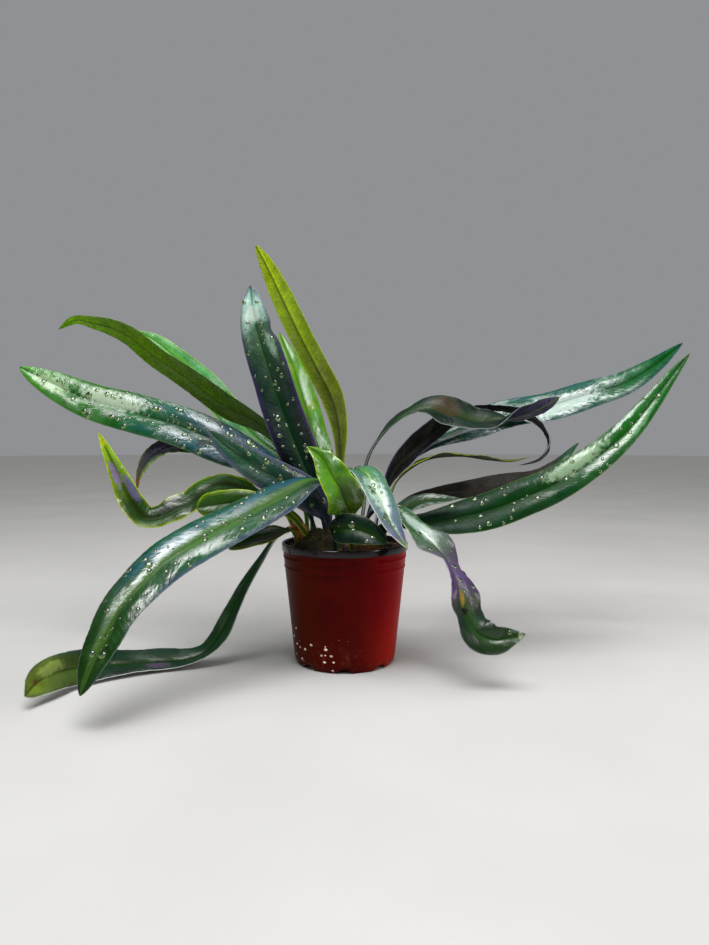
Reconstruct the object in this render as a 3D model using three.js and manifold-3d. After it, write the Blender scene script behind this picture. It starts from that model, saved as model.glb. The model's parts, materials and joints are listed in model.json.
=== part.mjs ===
// A potted fern: long, leathery, blue-green strap fronds that grow from a creeping rhizome
// in a thin red nursery pot. Millimetres, +Z up, origin on the floor under the pot's axis,
// +X to the right as the plant is seen from the front, +Y away from the viewer.
import * as THREE from 'three';
import { mergeVertices } from 'three/addons/utils/BufferGeometryUtils.js';
import Module from 'manifold-3d';

const wasm = await Module();
wasm.setup();

// Driving dimensions.
const POT_HEIGHT = 86;
const LIP_RADIUS = 45.4;
const WALL_TOP_RADIUS = 44.4;
const WALL_FOOT_RADIUS = 36.4;
const FOOT_RADIUS = 34.2;
const WALL = 1.1;
const LIP_HEIGHT = 5.2;
const BASE_RISE = 4;
const FOOT_RING_WIDTH = 5;
const FOOT_ROUNDING = 1.6;
const LIP_ROUNDING = 0.9;
const BEAD_HEIGHTS = [69.2, 76.2];
const BEAD_RISE = 0.5;
const BEAD_HALF_WIDTH = 1.2;
const NOTCHES = 8;
const NOTCH_WIDTH = 10;
const NOTCH_HEIGHT = 3.2;
const NOTCH_SIDES = 12;
const DRAIN_RADIUS = 3.4;
const DRAIN_CIRCLE_RADIUS = 20;
const DRAIN_SIDES = 10;
const SOIL_LEVEL = 81;
const SOIL_RELIEF = 1.3;
const SOIL_RINGS = [1, 0.84, 0.63, 0.42, 0.21, 0];
const RHIZOME_RADIUS = 4.4;
const RHIZOME_LEVEL = 81.5;
const RHIZOME_CLEARANCE = 0.45;
const KNOB_SCALE = 1.08;
const KNOB_ROWS = 7;
const GAP = 0.3;
const POT_SIDES = 40;
const SOIL_SIDES = 24;
const HOLE_SIDES = 6;
const HOLE_HEADROOM = 9;

// Stalks stand this deep in the soil, in round holes.
const STALK_DEPTH = 10;
const STALK_RADIUS = 1.5;
const STALK_HOLE_RADIUS = 2.3;
const STALK_RISE = 8;

// Every blade: thickness at the margin, the raised midrib, and the mesh it is made of.
const BLADE_THICKNESS = 0.8;
const RIB_THICKNESS = 1.6;
const STALK_THICKNESS = 2.8;
const TIP_HALF_WIDTH = 0.5;
const COLUMNS = 4;
const STEP_LENGTH = 10;

const POT_RED = '#8e1416';
const DARK_BARK = '#2b211a';
const RHIZOME_BROWN = '#4f3a22';
const LIME = '#7c9a1f';
const GREEN = '#2f6a35';
const TEAL = '#1f5a4e';
const BLUE = '#23577a';
const VIOLET = '#4b3358';

// The fronds. foot is where the stalk enters the soil, rib is the midrib from there to the tip,
// and face is the direction that the blade's upper side looks, at even steps along its length.
// half is half the greatest width, neck and full are where the blade starts and reaches it,
// taper shapes the tip, fold lifts the halves off the midrib and arch bends the margins back.
// A bite is a torn or notched place in one margin.
const FRONDS = [
  {
    name: 'frond_upright_lime', foot: [-3, 7], colour: LIME,
    rib: [[-3, 6, 114], [-3, 4, 144], [-4, 2, 168], [-9, 0, 189], [-19, -4, 209], [-32, -7, 234],
      [-43, -10, 257], [-53, -13, 278], [-61, -15, 293]],
    face: [[0.2, 1, 0], [0.2, 1, 0], [0.3, 1, 0.1], [0.4, 1, 0.2]],
    half: 8.5, neck: 0.22, full: 0.55, taper: 5, fold: 0.2, arch: 0.1, wave: 0.05, waves: 3,
  },
  {
    name: 'frond_standing_blue', foot: [-14, 3], colour: TEAL,
    rib: [[-17, 2, 108], [-28, 4, 137], [-40, 8, 166], [-47, 12, 184], [-54, 15, 206],
      [-61.5, 18, 229], [-67, 20, 250], [-70, 21, 273]],
    face: [[0.1, -1, 0.2], [0, -1, 0.2], [-0.1, -1, 0.1], [-0.2, -1, 0.2]],
    half: 14.5, neck: 0.12, full: 0.42, taper: 5, fold: 0.3, arch: 0.25, wave: 0.07, waves: 3,
    bite: { side: 1, at: 0.83, length: 0.03, depth: 0.2 },
  },
  {
    name: 'frond_behind_pale', foot: [-13, 15], colour: GREEN,
    rib: [[-14, 18, 112], [-17, 24, 140], [-25, 36, 160], [-31, 52, 182], [-38, 68, 203],
      [-47, 86, 227], [-57, 102, 250]],
    face: [[0.2, -1, 0.4], [0.2, -0.9, 0.5], [0.2, -0.8, 0.6]],
    half: 12, neck: 0.12, full: 0.45, taper: 2.4, fold: 0.3, arch: 0.2, wave: 0.05, waves: 2.5,
  },
  {
    name: 'frond_lime_arch', foot: [-24, 6], colour: LIME,
    rib: [[-25, 8, 108], [-38, 14, 144], [-60, 20, 168], [-92, 28, 186], [-118, 34, 204],
      [-145, 40, 222], [-167, 43, 239], [-181, 45, 245.5], [-196, 47, 249.5], [-211, 49, 252],
      [-224, 50, 245]],
    face: [[0.3, 0.2, 0.6], [0.3, 0.5, 0.8], [0.2, 0.7, 0.7], [0.1, 0.7, 0.7], [-0.1, 0.6, 0.8]],
    half: 13.5, neck: 0.12, full: 0.5, taper: 2.2, fold: 0.25, arch: 0.25, wave: 0.04, waves: 3,
  },
  {
    name: 'frond_pale_back', foot: [-28, 15], colour: GREEN,
    rib: [[-30, 18, 108], [-47, 28, 144], [-68, 40, 160], [-100, 66, 188], [-116, 80, 204],
      [-132, 96, 217], [-151, 112, 232], [-168, 124, 245], [-189, 133, 256]],
    face: [[0, -0.5, 0.7], [0, -0.8, 0.7], [0, -0.8, 0.7], [-0.1, -0.8, 0.6]],
    half: 12, neck: 0.12, full: 0.5, taper: 3.6, fold: 0.3, arch: 0.25, wave: 0.05, waves: 3,
  },
  {
    name: 'frond_long_left', foot: [-20, -8], colour: BLUE,
    rib: [[-25, -7, 106], [-44, -5, 134], [-81, -3, 153], [-117, 6, 168], [-153, 16, 178],
      [-190, 25, 188], [-228, 35, 204], [-251, 41, 215]],
    face: [[0.2, -0.4, 0.8], [0.2, -0.7, 0.6], [0.1, -0.9, 0.5], [0.1, -0.9, 0.5], [0.1, -0.9, 0.5]],
    half: 16.5, neck: 0.1, full: 0.42, taper: 4.2, fold: 0.35, arch: 0.3, wave: 0.03, waves: 3,
  },
  {
    name: 'frond_violet_left', foot: [-13, -8], colour: TEAL,
    rib: [[-13, -9, 105], [-22, -16, 118], [-33, -21, 126], [-44, -25, 132], [-55, -28, 138],
      [-67, -30, 146], [-79, -33, 155], [-91, -35, 166]],
    face: [[0.5, -0.9, 0.5], [0.4, -1, 0.4], [0.2, -1, 0.4], [0.2, -1, 0.4]],
    half: 12.5, neck: 0.14, full: 0.42, taper: 2.8, fold: 0.3, arch: 0.25, wave: 0.06, waves: 2,
  },
  {
    name: 'frond_front_arch', foot: [-5, -7], colour: BLUE,
    rib: [[-5, -14, 108], [-9, -21, 126], [-20, -31, 132], [-45, -50, 120], [-70, -66, 107],
      [-90, -78, 97], [-106, -91, 87], [-119, -104, 74], [-127, -114, 63], [-132, -123, 50],
      [-137, -130, 37], [-142, -134, 21]],
    face: [[0.4, 0.7, 0], [0.4, 0.7, 0.3], [0, -0.2, 1], [-0.2, -0.7, 0.7], [-0.2, -0.8, 0.6],
      [-0.2, -0.8, 0.5], [-0.3, -0.8, 0.3], [-0.3, -0.9, 0.3], [-0.3, -0.9, 0.2]],
    half: 15.5, neck: 0.08, full: 0.42, taper: 5, fold: 0.3, arch: 0.3, wave: 0.03, waves: 3,
  },
  {
    name: 'frond_upturned', foot: [-27, -8.5], colour: GREEN,
    rib: [[-32, -10, 103], [-47, -13, 114.5], [-60, -15, 121.5], [-73, -18, 126.5], [-86, -24, 128],
      [-95, -30, 125], [-103, -34, 117], [-112, -38, 113], [-122, -41, 108.5], [-131, -43, 107.5],
      [-138, -43, 114], [-143, -42, 122], [-149, -40, 134], [-156, -38, 148], [-164, -36, 164]],
    face: [[0.5, -0.5, 0.5], [0, -0.3, 1], [-0.1, -0.3, 1], [-0.1, -0.6, 0.8], [-0.1, -0.7, 0.7],
      [0.1, -0.7, 0.7], [0.5, -0.9, 0.2], [0.5, -0.9, 0.2]],
    half: 10.5, neck: 0.1, full: 0.45, taper: 2, fold: 0.3, arch: 0.1, wave: 0.14, waves: 5,
  },
  {
    name: 'frond_violet_arch', foot: [-35, 0], colour: VIOLET,
    rib: [[-41, 0, 104], [-60, 2, 131], [-84, 6, 146], [-104, 9, 153], [-121, 12, 155],
      [-135, 13, 152], [-144, 12, 145], [-150, 10, 134], [-152, 8, 122]],
    face: [[0.6, -0.2, 0.5], [0, -0.2, 1], [0, -0.3, 1], [-0.3, -0.7, 0.7], [-0.7, -0.7, 0.3]],
    half: 9.5, neck: 0.1, full: 0.6, taper: 2.8, fold: 0.35, arch: 0.15, wave: 0.1, waves: 3.5,
  },
  {
    name: 'frond_short_lime', foot: [-24, -21], colour: LIME,
    rib: [[-29, -25, 98], [-38, -32, 109], [-54, -38, 116], [-69, -43, 118], [-82, -47, 117],
      [-96, -50, 115]],
    face: [[0.5, -0.8, 0.4], [0, -1, 0.3], [-0.1, -1, 0.3], [-0.3, -0.9, 0.3]],
    half: 9, neck: 0.35, full: 0.75, taper: 6, fold: 0.2, arch: 0.1, wave: 0.12, waves: 2,
  },
  {
    name: 'frond_low_left', foot: [-33, -20], colour: GREEN,
    rib: [[-35, -23, 96], [-42, -30, 98], [-52, -35, 95], [-64, -41, 92], [-76, -45, 87]],
    face: [[0.6, 0.6, 0], [0.5, 0.5, 0.4], [-0.1, -0.4, 1], [-0.2, -0.7, 0.7], [-0.2, -0.7, 0.7]],
    half: 8.5, neck: 0.3, full: 0.6, taper: 2.4, fold: 0.25, arch: 0.1, wave: 0.06, waves: 2,
  },
  {
    name: 'frond_trailing', foot: [-34, -11], colour: GREEN,
    rib: [[-37, -12, 97], [-47, -14, 92], [-59, -14, 75], [-71, -13, 56], [-80, -12, 38],
      [-89, -12, 20], [-99, -14, 9], [-112, -18, 5], [-129, -23, 5], [-147, -31, 6],
      [-162, -42, 8], [-173, -56, 11], [-181, -72, 13], [-186, -87, 12], [-187, -102, 9]],
    face: [[0.9, -0.2, 0.2], [0.1, -0.4, 1], [0, -0.9, 0.4], [-0.2, -0.8, 0.5], [0.1, -0.3, 1],
      [0.2, -0.35, 1], [0.3, -0.5, 0.7], [0.6, -0.6, 0.4], [0.7, -0.5, 0.4]],
    half: 11.5, neck: 0.1, full: 0.7, taper: 7, fold: 0.35, arch: 0.1, wave: 0.1, waves: 5,
  },
  {
    name: 'frond_young_crumpled', foot: [5, -19], colour: LIME,
    rib: [[4, -24, 100], [4, -34, 111], [1, -44, 118], [-2, -52, 127], [-8, -52, 137],
      [-14, -48, 147], [-24, -42, 155]],
    face: [[0, -1, 0], [0, -0.8, -0.5], [0.1, -0.9, -0.3], [0.3, -0.9, 0.3], [0.2, -0.9, 0.5]],
    half: 13, neck: 0.34, full: 0.54, taper: 1.5, fold: 0.5, arch: 0.2, wave: 0.22, waves: 2.5,
  },
  {
    name: 'frond_centre_droop', foot: [3, -6], colour: TEAL,
    rib: [[2, -8, 106], [0, -10, 126], [3, -17, 137], [13, -29, 137], [20, -41, 127],
      [26, -51, 115], [31, -58, 104], [40, -65, 91]],
    face: [[-0.5, 0.8, 0], [-0.5, 0.8, 0.1], [-0.4, 0.7, 0.4], [0.1, -0.2, 1], [0.4, -0.6, 0.7],
      [0.5, -0.7, 0.6], [0.6, -0.8, 0.4]],
    half: 11.5, neck: 0.16, full: 0.6, taper: 2.4, fold: 0.4, arch: 0.2, wave: 0.04, waves: 3,
  },
  {
    name: 'frond_damaged_right', foot: [12, -5], colour: VIOLET,
    rib: [[15, -7, 102], [26, -13, 113], [35, -20, 112], [45, -30, 103], [56, -40, 93],
      [66, -48, 82], [72, -54, 71], [75.5, -58, 58], [79, -62, 47], [85, -66, 37], [95, -68, 33],
      [105, -70, 35], [114, -73, 38]],
    face: [[-0.7, 0.5, 0], [-0.7, 0.5, 0.3], [0, 0, 1], [0.4, -0.5, 0.8], [0.6, -0.7, 0.5],
      [0.9, -0.5, 0.3], [0.7, -0.8, 0.2], [0.2, -0.9, 0.3], [-0.1, -0.8, 0.5]],
    half: 14, neck: 0.1, full: 0.55, taper: 3.4, fold: 0.3, arch: 0.1, wave: 0.16, waves: 5,
    bite: { side: 1, at: 0.68, length: 0.035, depth: 0.4 },
  },
  {
    name: 'frond_long_right', foot: [20, -2], colour: GREEN,
    rib: [[24, -3, 96], [43, -6, 100], [61, -7, 100.5], [82, -9, 104], [104, -10, 109.5], [126, -9, 118],
      [148, -7, 127], [175, -4, 143], [201, 0, 164], [220, 4, 185], [237, 7, 206], [251, 10, 222]],
    face: [[-0.4, -0.6, 0.8], [-0.1, -0.8, 0.6], [-0.1, -0.9, 0.5], [-0.2, -0.9, 0.4], [-0.3, -0.9, 0.3]],
    half: 14.5, neck: 0.06, full: 0.34, taper: 1.6, fold: 0.3, arch: 0.25, wave: 0.03, waves: 3,
  },
  {
    name: 'frond_short_right', foot: [24, -13], colour: GREEN,
    rib: [[29, -13, 98], [42, -12, 110], [56, -11, 116], [69, -12, 117], [81, -13, 118]],
    face: [[-0.4, -0.6, 0.6], [-0.1, -0.6, 0.8], [0, -0.6, 0.8]],
    half: 7.5, neck: 0.15, full: 0.5, taper: 1.8, fold: 0.3, arch: 0.1, wave: 0.08, waves: 2,
  },
  {
    name: 'frond_long_back', foot: [16, 16], colour: GREEN,
    rib: [[19, 22, 108], [38, 38, 136], [62, 51, 156], [98, 61, 169], [132, 66, 180],
      [164, 64, 185.5], [194, 58, 195], [218, 48, 203], [238, 39, 216.5], [254, 28, 232]],
    face: [[-0.5, -0.5, 0.6], [-0.2, -0.6, 0.8], [-0.1, -0.7, 0.8], [-0.1, -0.8, 0.6], [-0.2, -0.8, 0.6]],
    half: 16, neck: 0.1, full: 0.5, taper: 2.6, fold: 0.25, arch: 0.2, wave: 0.04, waves: 3,
  },
  {
    name: 'frond_twisted_right', foot: [11, 7], colour: TEAL,
    rib: [[14, 10, 112], [16, 13, 143], [27, 17, 162], [45, 21, 177], [63, 23, 182], [79, 23, 178.5],
      [97, 21, 173], [112, 20, 173.5], [128, 20, 176], [145, 22, 182], [161, 25, 191]],
    face: [[-0.9, 0, 0.3], [-0.9, 0, 0.3], [-0.9, 0, 0.4], [-0.8, 0, 0.6], [-0.3, -0.3, 1],
      [0, -0.7, 0.8], [0, -0.7, 0.8], [0.1, 0.6, 0.8], [0.1, 0.9, 0.4]],
    half: 14.5, neck: 0.2, full: 0.6, taper: 2.6, fold: 0.3, arch: 0.1, wave: 0.14, waves: 4,
  },
  {
    name: 'frond_hooked', foot: [22, 10], colour: VIOLET,
    rib: [[25, 14, 108], [35, 22, 133], [51, 30, 151], [70, 38.4, 166], [92, 46, 178],
      [114, 50, 182], [136, 48, 179], [151, 42, 169], [155, 33, 155], [145, 24, 145],
      [129, 18, 140]],
    face: [[-0.6, 0.4, 0.5], [-0.5, 0.7, 0.5], [-0.3, 0.9, 0.4], [-0.1, 0.8, 0.6], [0.2, 0.4, 0.8],
      [0.9, 0, 0.4], [0.8, -0.4, -0.4], [0.2, -0.5, -0.9]],
    half: 11, neck: 0.12, full: 0.4, taper: 2, fold: 0.3, arch: 0.1, wave: 0.08, waves: 4,
  },
  {
    name: 'frond_ribbon', foot: [29, 9], colour: LIME,
    rib: [[31, 10, 106], [37, 13, 127], [50, 16, 139], [63, 19, 145], [86, 22, 147], [109, 25, 144],
      [126, 26, 143], [139, 26, 146]],
    face: [[-0.8, 0.1, 0.4], [-0.6, 0.1, 0.7], [-0.1, 0.15, 1], [0, 0.1, 1], [0, 0, 1]],
    half: 8, neck: 0.15, full: 0.55, taper: 2.4, fold: 0.25, arch: 0.1, wave: 0.12, waves: 5,
  },
  {
    name: 'frond_under_right', foot: [28, 1], colour: VIOLET,
    rib: [[31, 2, 103], [47, 5, 116], [67, 7, 120], [92, 11, 122.5], [118, 13, 126.5], [140, 15, 130.5],
      [157, 16, 140.5], [173, 16, 157]],
    face: [[-0.5, 0.5, 0.6], [-0.2, 0.7, 0.7], [-0.1, 0.8, 0.6], [-0.3, 0.8, 0.5]],
    half: 10, neck: 0.15, full: 0.55, taper: 2, fold: 0.3, arch: 0.2, wave: 0.05, waves: 3,
  },
  {
    name: 'frond_low_centre', foot: [-6, -29], colour: GREEN,
    rib: [[-7, -32, 97], [-7, -38, 100], [-2, -46, 101], [8, -51, 101], [18, -55, 98], [28, -57, 93]],
    face: [[0, -1, 0], [0, -0.9, -0.3], [-0.3, -0.9, 0.2], [-0.1, -1, 0.3], [0.2, -0.9, 0.5]],
    half: 10, neck: 0.3, full: 0.6, taper: 2.4, fold: 0.25, arch: 0.1, wave: 0.06, waves: 2,
  },
];

// The rhizome creeps across the soil, half sunk, through the feet of the middle row of fronds.
const RHIZOME_PATH = [[-34, -11], [-27, -8.5], [-20, -8], [-13, -8], [-5, -7], [3, -6], [12, -5],
  [20, -2], [28, 1]];
const RHIZOME_STEPS = 16;
const RHIZOME_SIDES = 8;

// A closed three.js geometry becomes a solid that can be cut and joined.
function solidOf(geometry) {
  const bare = geometry.clone();
  bare.deleteAttribute('normal');
  bare.deleteAttribute('uv');
  const merged = mergeVertices(bare, 1e-4);
  const kept = [];
  const index = merged.index.array;
  for (let i = 0; i < index.length; i += 3) {
    const [a, b, c] = [index[i], index[i + 1], index[i + 2]];
    if (a !== b && b !== c && c !== a) {
      kept.push(a, b, c);
    }
  }
  return new wasm.Manifold(new wasm.Mesh({
    numProp: 3,
    vertProperties: new Float32Array(merged.attributes.position.array),
    triVerts: new Uint32Array(kept),
  }));
}

function geometryOf(solid) {
  const mesh = solid.getMesh();
  const geometry = new THREE.BufferGeometry();
  geometry.setAttribute('position', new THREE.BufferAttribute(new Float32Array(mesh.vertProperties), 3));
  geometry.setIndex(new THREE.BufferAttribute(new Uint32Array(mesh.triVerts), 1));
  geometry.computeVertexNormals();
  return geometry;
}

function meshOf(name, geometry, colour, roughness) {
  const material = new THREE.MeshStandardMaterial({ color: colour, roughness, metalness: 0 });
  const mesh = new THREE.Mesh(geometry, material);
  mesh.name = name;
  return mesh;
}

// A solid of revolution about +Z from [radius, height] points that start and end on the axis.
function revolved(points, sides) {
  const profile = points.map(([radius, height]) => new THREE.Vector2(radius, height));
  return new THREE.LatheGeometry(profile, sides).rotateX(Math.PI / 2);
}

function uprightCylinder(x, y, bottom, top, radius, sides) {
  const geometry = new THREE.CylinderGeometry(radius, radius, top - bottom, sides);
  return geometry.rotateX(Math.PI / 2).translate(x, y, (top + bottom) / 2);
}

// The wall leans out evenly from the foot to the lip.
function wallRadius(height) {
  const share = (height - BASE_RISE) / (POT_HEIGHT - LIP_HEIGHT - BASE_RISE);
  return WALL_FOOT_RADIUS + (WALL_TOP_RADIUS - WALL_FOOT_RADIUS) * share;
}

function makePot() {
  const lipFoot = POT_HEIGHT - LIP_HEIGHT;
  const footInner = FOOT_RADIUS - FOOT_RING_WIDTH;
  const floorTop = BASE_RISE + WALL;
  const wallFoot = BASE_RISE + 2;
  const lipThickness = 2 * WALL;
  const beads = BEAD_HEIGHTS.flatMap((height) => [
    [wallRadius(height - BEAD_HALF_WIDTH), height - BEAD_HALF_WIDTH],
    [wallRadius(height) + BEAD_RISE, height],
    [wallRadius(height + BEAD_HALF_WIDTH), height + BEAD_HALF_WIDTH],
  ]);
  const profile = [
    [0, BASE_RISE], [footInner - FOOT_ROUNDING, BASE_RISE], [footInner, 0], [FOOT_RADIUS, 0],
    [FOOT_RADIUS + FOOT_ROUNDING, FOOT_ROUNDING], [wallRadius(wallFoot), wallFoot],
    ...beads,
    [wallRadius(lipFoot), lipFoot], [LIP_RADIUS, lipFoot + LIP_ROUNDING],
    [LIP_RADIUS, POT_HEIGHT - LIP_ROUNDING], [LIP_RADIUS - LIP_ROUNDING, POT_HEIGHT],
    [LIP_RADIUS - lipThickness + LIP_ROUNDING / 2, POT_HEIGHT],
    [LIP_RADIUS - lipThickness, POT_HEIGHT - LIP_ROUNDING],
    [wallRadius(lipFoot) - WALL, lipFoot], [wallRadius(wallFoot) - WALL, wallFoot + WALL],
    [wallRadius(wallFoot) - WALL - FOOT_ROUNDING, floorTop], [0, floorTop],
  ];
  let pot = solidOf(revolved(profile, POT_SIDES));
  const notchRadius = NOTCH_WIDTH / 2;
  const notch = new THREE.CylinderGeometry(notchRadius, notchRadius, FOOT_RING_WIDTH * 3, NOTCH_SIDES);
  notch.scale(1, 1, NOTCH_HEIGHT / notchRadius);
  for (let i = 0; i < NOTCHES; i += 1) {
    const turn = (i / NOTCHES) * 2 * Math.PI;
    const cutter = notch.clone().translate(0, FOOT_RADIUS, 0).rotateZ(turn);
    pot = pot.subtract(solidOf(cutter));
    const [x, y] = [DRAIN_CIRCLE_RADIUS * Math.cos(turn), DRAIN_CIRCLE_RADIUS * Math.sin(turn)];
    const drain = uprightCylinder(x, y, BASE_RISE - WALL, floorTop + WALL, DRAIN_RADIUS, DRAIN_SIDES);
    pot = pot.subtract(solidOf(drain));
  }
  return pot;
}

// Lumpy soil surface: a few waves of different length, flat at the wall.
function soilHeight(x, y) {
  const lumps = Math.sin(x * 0.42 + 1.3) * Math.cos(y * 0.37) + 0.6 * Math.sin(x * 0.21 - y * 0.55 + 0.4);
  return SOIL_LEVEL + SOIL_RELIEF * lumps;
}

function makeSoil(cutters) {
  const bottom = BASE_RISE + WALL + GAP;
  const shoulder = bottom + 2 * WALL;
  const edge = wallRadius(SOIL_LEVEL) - WALL - 2 * GAP;
  const profile = [
    [0, bottom], [wallRadius(bottom) - WALL - FOOT_ROUNDING - 2 * GAP, bottom],
    [wallRadius(shoulder) - WALL - 2 * GAP, shoulder],
    ...SOIL_RINGS.map((share) => [edge * share, SOIL_LEVEL]),
  ];
  const geometry = revolved(profile, SOIL_SIDES);
  const position = geometry.attributes.position;
  for (let i = 0; i < position.count; i += 1) {
    const [x, y, z] = [position.getX(i), position.getY(i), position.getZ(i)];
    if (z > SOIL_LEVEL - 1 && Math.hypot(x, y) < edge - 1) {
      position.setZ(i, soilHeight(x, y));
    }
  }
  let soil = solidOf(geometry);
  for (const cutter of cutters) {
    soil = soil.subtract(cutter);
  }
  return soil;
}

// A tube with rounded ends along the creeping path; grow adds to its radius all round.
function rhizomeSolid(grow) {
  const points = RHIZOME_PATH.map(([x, y]) => new THREE.Vector3(x, y, RHIZOME_LEVEL));
  const path = new THREE.CatmullRomCurve3(points);
  const radius = RHIZOME_RADIUS + grow;
  const section = new THREE.Shape();
  for (let i = 0; i < RHIZOME_SIDES; i += 1) {
    const turn = (i / RHIZOME_SIDES) * 2 * Math.PI;
    const corner = [radius * Math.cos(turn), radius * Math.sin(turn)];
    if (i === 0) {
      section.moveTo(...corner);
    } else {
      section.lineTo(...corner);
    }
  }
  section.closePath();
  const tube = new THREE.ExtrudeGeometry(section, {
    steps: RHIZOME_STEPS, bevelEnabled: false, extrudePath: path,
  });
  let solid = solidOf(tube);
  for (const end of [points[0], points[points.length - 1]]) {
    const knob = new THREE.SphereGeometry(radius * KNOB_SCALE, RHIZOME_SIDES, KNOB_ROWS);
    knob.rotateX(Math.PI / 2).translate(end.x, end.y, end.z);
    solid = solid.add(solidOf(knob));
  }
  return solid;
}

function smoothStep(low, high, value) {
  const share = Math.min(Math.max((value - low) / (high - low), 0), 1);
  return share * share * (3 - 2 * share);
}

// Half width at a share of the length: a narrow stalk, a blade that widens, and a drawn-out tip.
function halfWidth(frond, share) {
  const widening = smoothStep(frond.neck, frond.full, share);
  const past = Math.max((share - frond.full) / (1 - frond.full), 0);
  const tapering = Math.max(1 - past ** frond.taper, 0) ** 0.75;
  const blade = STALK_RADIUS + (frond.half - STALK_RADIUS) * widening;
  return Math.max(blade * tapering, TIP_HALF_WIDTH);
}

// How much of the half width is left on one side of the midrib.
function marginShare(frond, share, across) {
  const { side, at, length, depth } = frond.bite ?? { side: 0 };
  if (side * across <= 0) {
    return 1;
  }
  return 1 - depth * Math.exp(-(((share - at) / length) ** 2));
}

// The upper side's direction between the stations of a frond's face list.
function facing(frond, share) {
  const place = share * (frond.face.length - 1);
  const low = Math.min(Math.floor(place), frond.face.length - 2);
  const blend = smoothStep(0, 1, place - low);
  const from = new THREE.Vector3(...frond.face[low]).normalize();
  const to = new THREE.Vector3(...frond.face[low + 1]).normalize();
  return from.lerp(to, blend);
}

function midrib(frond) {
  const [x, y] = frond.foot;
  const start = SOIL_LEVEL - STALK_DEPTH;
  const points = [[x, y, start], [x, y, SOIL_LEVEL - 1], [x, y, SOIL_LEVEL + STALK_RISE], ...frond.rib];
  const path = new THREE.CatmullRomCurve3(points.map((point) => new THREE.Vector3(...point)));
  path.arcLengthDivisions = 400;
  return path;
}

// One frond as one closed body: rows of points across the blade, above and below its middle
// surface, with both faces split into triangles along the same diagonals.
function frondGeometry(frond) {
  const path = midrib(frond);
  const steps = Math.round(path.getLength() / STEP_LENGTH);
  const perRow = 2 * (COLUMNS + 1);
  const positions = [];
  for (let i = 0; i <= steps; i += 1) {
    const share = i / steps;
    const centre = path.getPointAt(share);
    const along = path.getTangentAt(share);
    const up = facing(frond, share);
    up.addScaledVector(along, -up.dot(along)).normalize();
    const side = new THREE.Vector3().crossVectors(along, up);
    const half = halfWidth(frond, share);
    const blade = smoothStep(frond.neck, frond.full, share);
    for (const upper of [1, -1]) {
      for (let j = 0; j <= COLUMNS; j += 1) {
        const across = (2 * j) / COLUMNS - 1;
        const reach = Math.abs(across);
        const ripple = Math.sin(2 * Math.PI * (frond.waves * share + 0.3 * across));
        const lift = half * blade * (frond.fold * reach - frond.arch * reach * reach
          + frond.wave * reach * reach * ripple);
        const stalk = STALK_THICKNESS * (1 - 0.75 * reach * reach);
        const leaf = across === 0 ? RIB_THICKNESS - 0.6 * share : BLADE_THICKNESS;
        const thickness = stalk + (leaf - stalk) * smoothStep(0, 0.5, blade);
        const point = centre.clone();
        point.addScaledVector(side, half * across * marginShare(frond, share, across));
        point.addScaledVector(up, lift + (upper * thickness) / 2);
        positions.push(point.x, point.y, point.z);
      }
    }
  }
  const index = [];
  const vertex = (row, below, column) => row * perRow + below * (COLUMNS + 1) + column;
  const quad = (a, b, c, d) => index.push(a, b, c, a, c, d);
  for (let i = 0; i < steps; i += 1) {
    for (let j = 0; j < COLUMNS; j += 1) {
      quad(vertex(i, 0, j), vertex(i, 0, j + 1), vertex(i + 1, 0, j + 1), vertex(i + 1, 0, j));
      index.push(vertex(i, 1, j), vertex(i + 1, 1, j + 1), vertex(i, 1, j + 1));
      index.push(vertex(i, 1, j), vertex(i + 1, 1, j), vertex(i + 1, 1, j + 1));
    }
    quad(vertex(i, 1, 0), vertex(i, 0, 0), vertex(i + 1, 0, 0), vertex(i + 1, 1, 0));
    const last = COLUMNS;
    quad(vertex(i, 0, last), vertex(i, 1, last), vertex(i + 1, 1, last), vertex(i + 1, 0, last));
  }
  for (let j = 0; j < COLUMNS; j += 1) {
    quad(vertex(0, 1, j), vertex(0, 1, j + 1), vertex(0, 0, j + 1), vertex(0, 0, j));
    quad(vertex(steps, 0, j), vertex(steps, 0, j + 1), vertex(steps, 1, j + 1), vertex(steps, 1, j));
  }
  const geometry = new THREE.BufferGeometry();
  geometry.setAttribute('position', new THREE.Float32BufferAttribute(positions, 3));
  geometry.setIndex(index);
  geometry.computeVertexNormals();
  return geometry;
}

const holeFoot = SOIL_LEVEL - STALK_DEPTH - 1;
const holeTop = SOIL_LEVEL + HOLE_HEADROOM;
const stalkHoles = FRONDS.map(({ foot: [x, y] }) => solidOf(
  uprightCylinder(x, y, holeFoot, holeTop, STALK_HOLE_RADIUS, HOLE_SIDES),
));

let rhizome = rhizomeSolid(0);
for (const hole of stalkHoles) {
  rhizome = rhizome.subtract(hole);
}

const soil = makeSoil([rhizomeSolid(RHIZOME_CLEARANCE), ...stalkHoles]);

const group = new THREE.Group();
group.add(meshOf('pot', geometryOf(makePot()), POT_RED, 0.4));
group.add(meshOf('soil', geometryOf(soil), DARK_BARK, 0.95));
group.add(meshOf('rhizome', geometryOf(rhizome), RHIZOME_BROWN, 0.8));
for (const frond of FRONDS) {
  group.add(meshOf(frond.name, frondGeometry(frond), frond.colour, 0.35));
}

export default group;
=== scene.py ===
"""A potted fern with long blue-green strap fronds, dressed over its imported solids.

Run as a script it makes the pot, the soil, the creeping rhizome, every frond with its water
beads, and a plain studio. Metres, +Z up, +X to the right and +Y away from the viewer, as in
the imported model.
"""
import json
import math

import bpy
import numpy as np
from bpy.props import FloatProperty, FloatVectorProperty, IntProperty, PointerProperty
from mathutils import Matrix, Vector, noise


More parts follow.
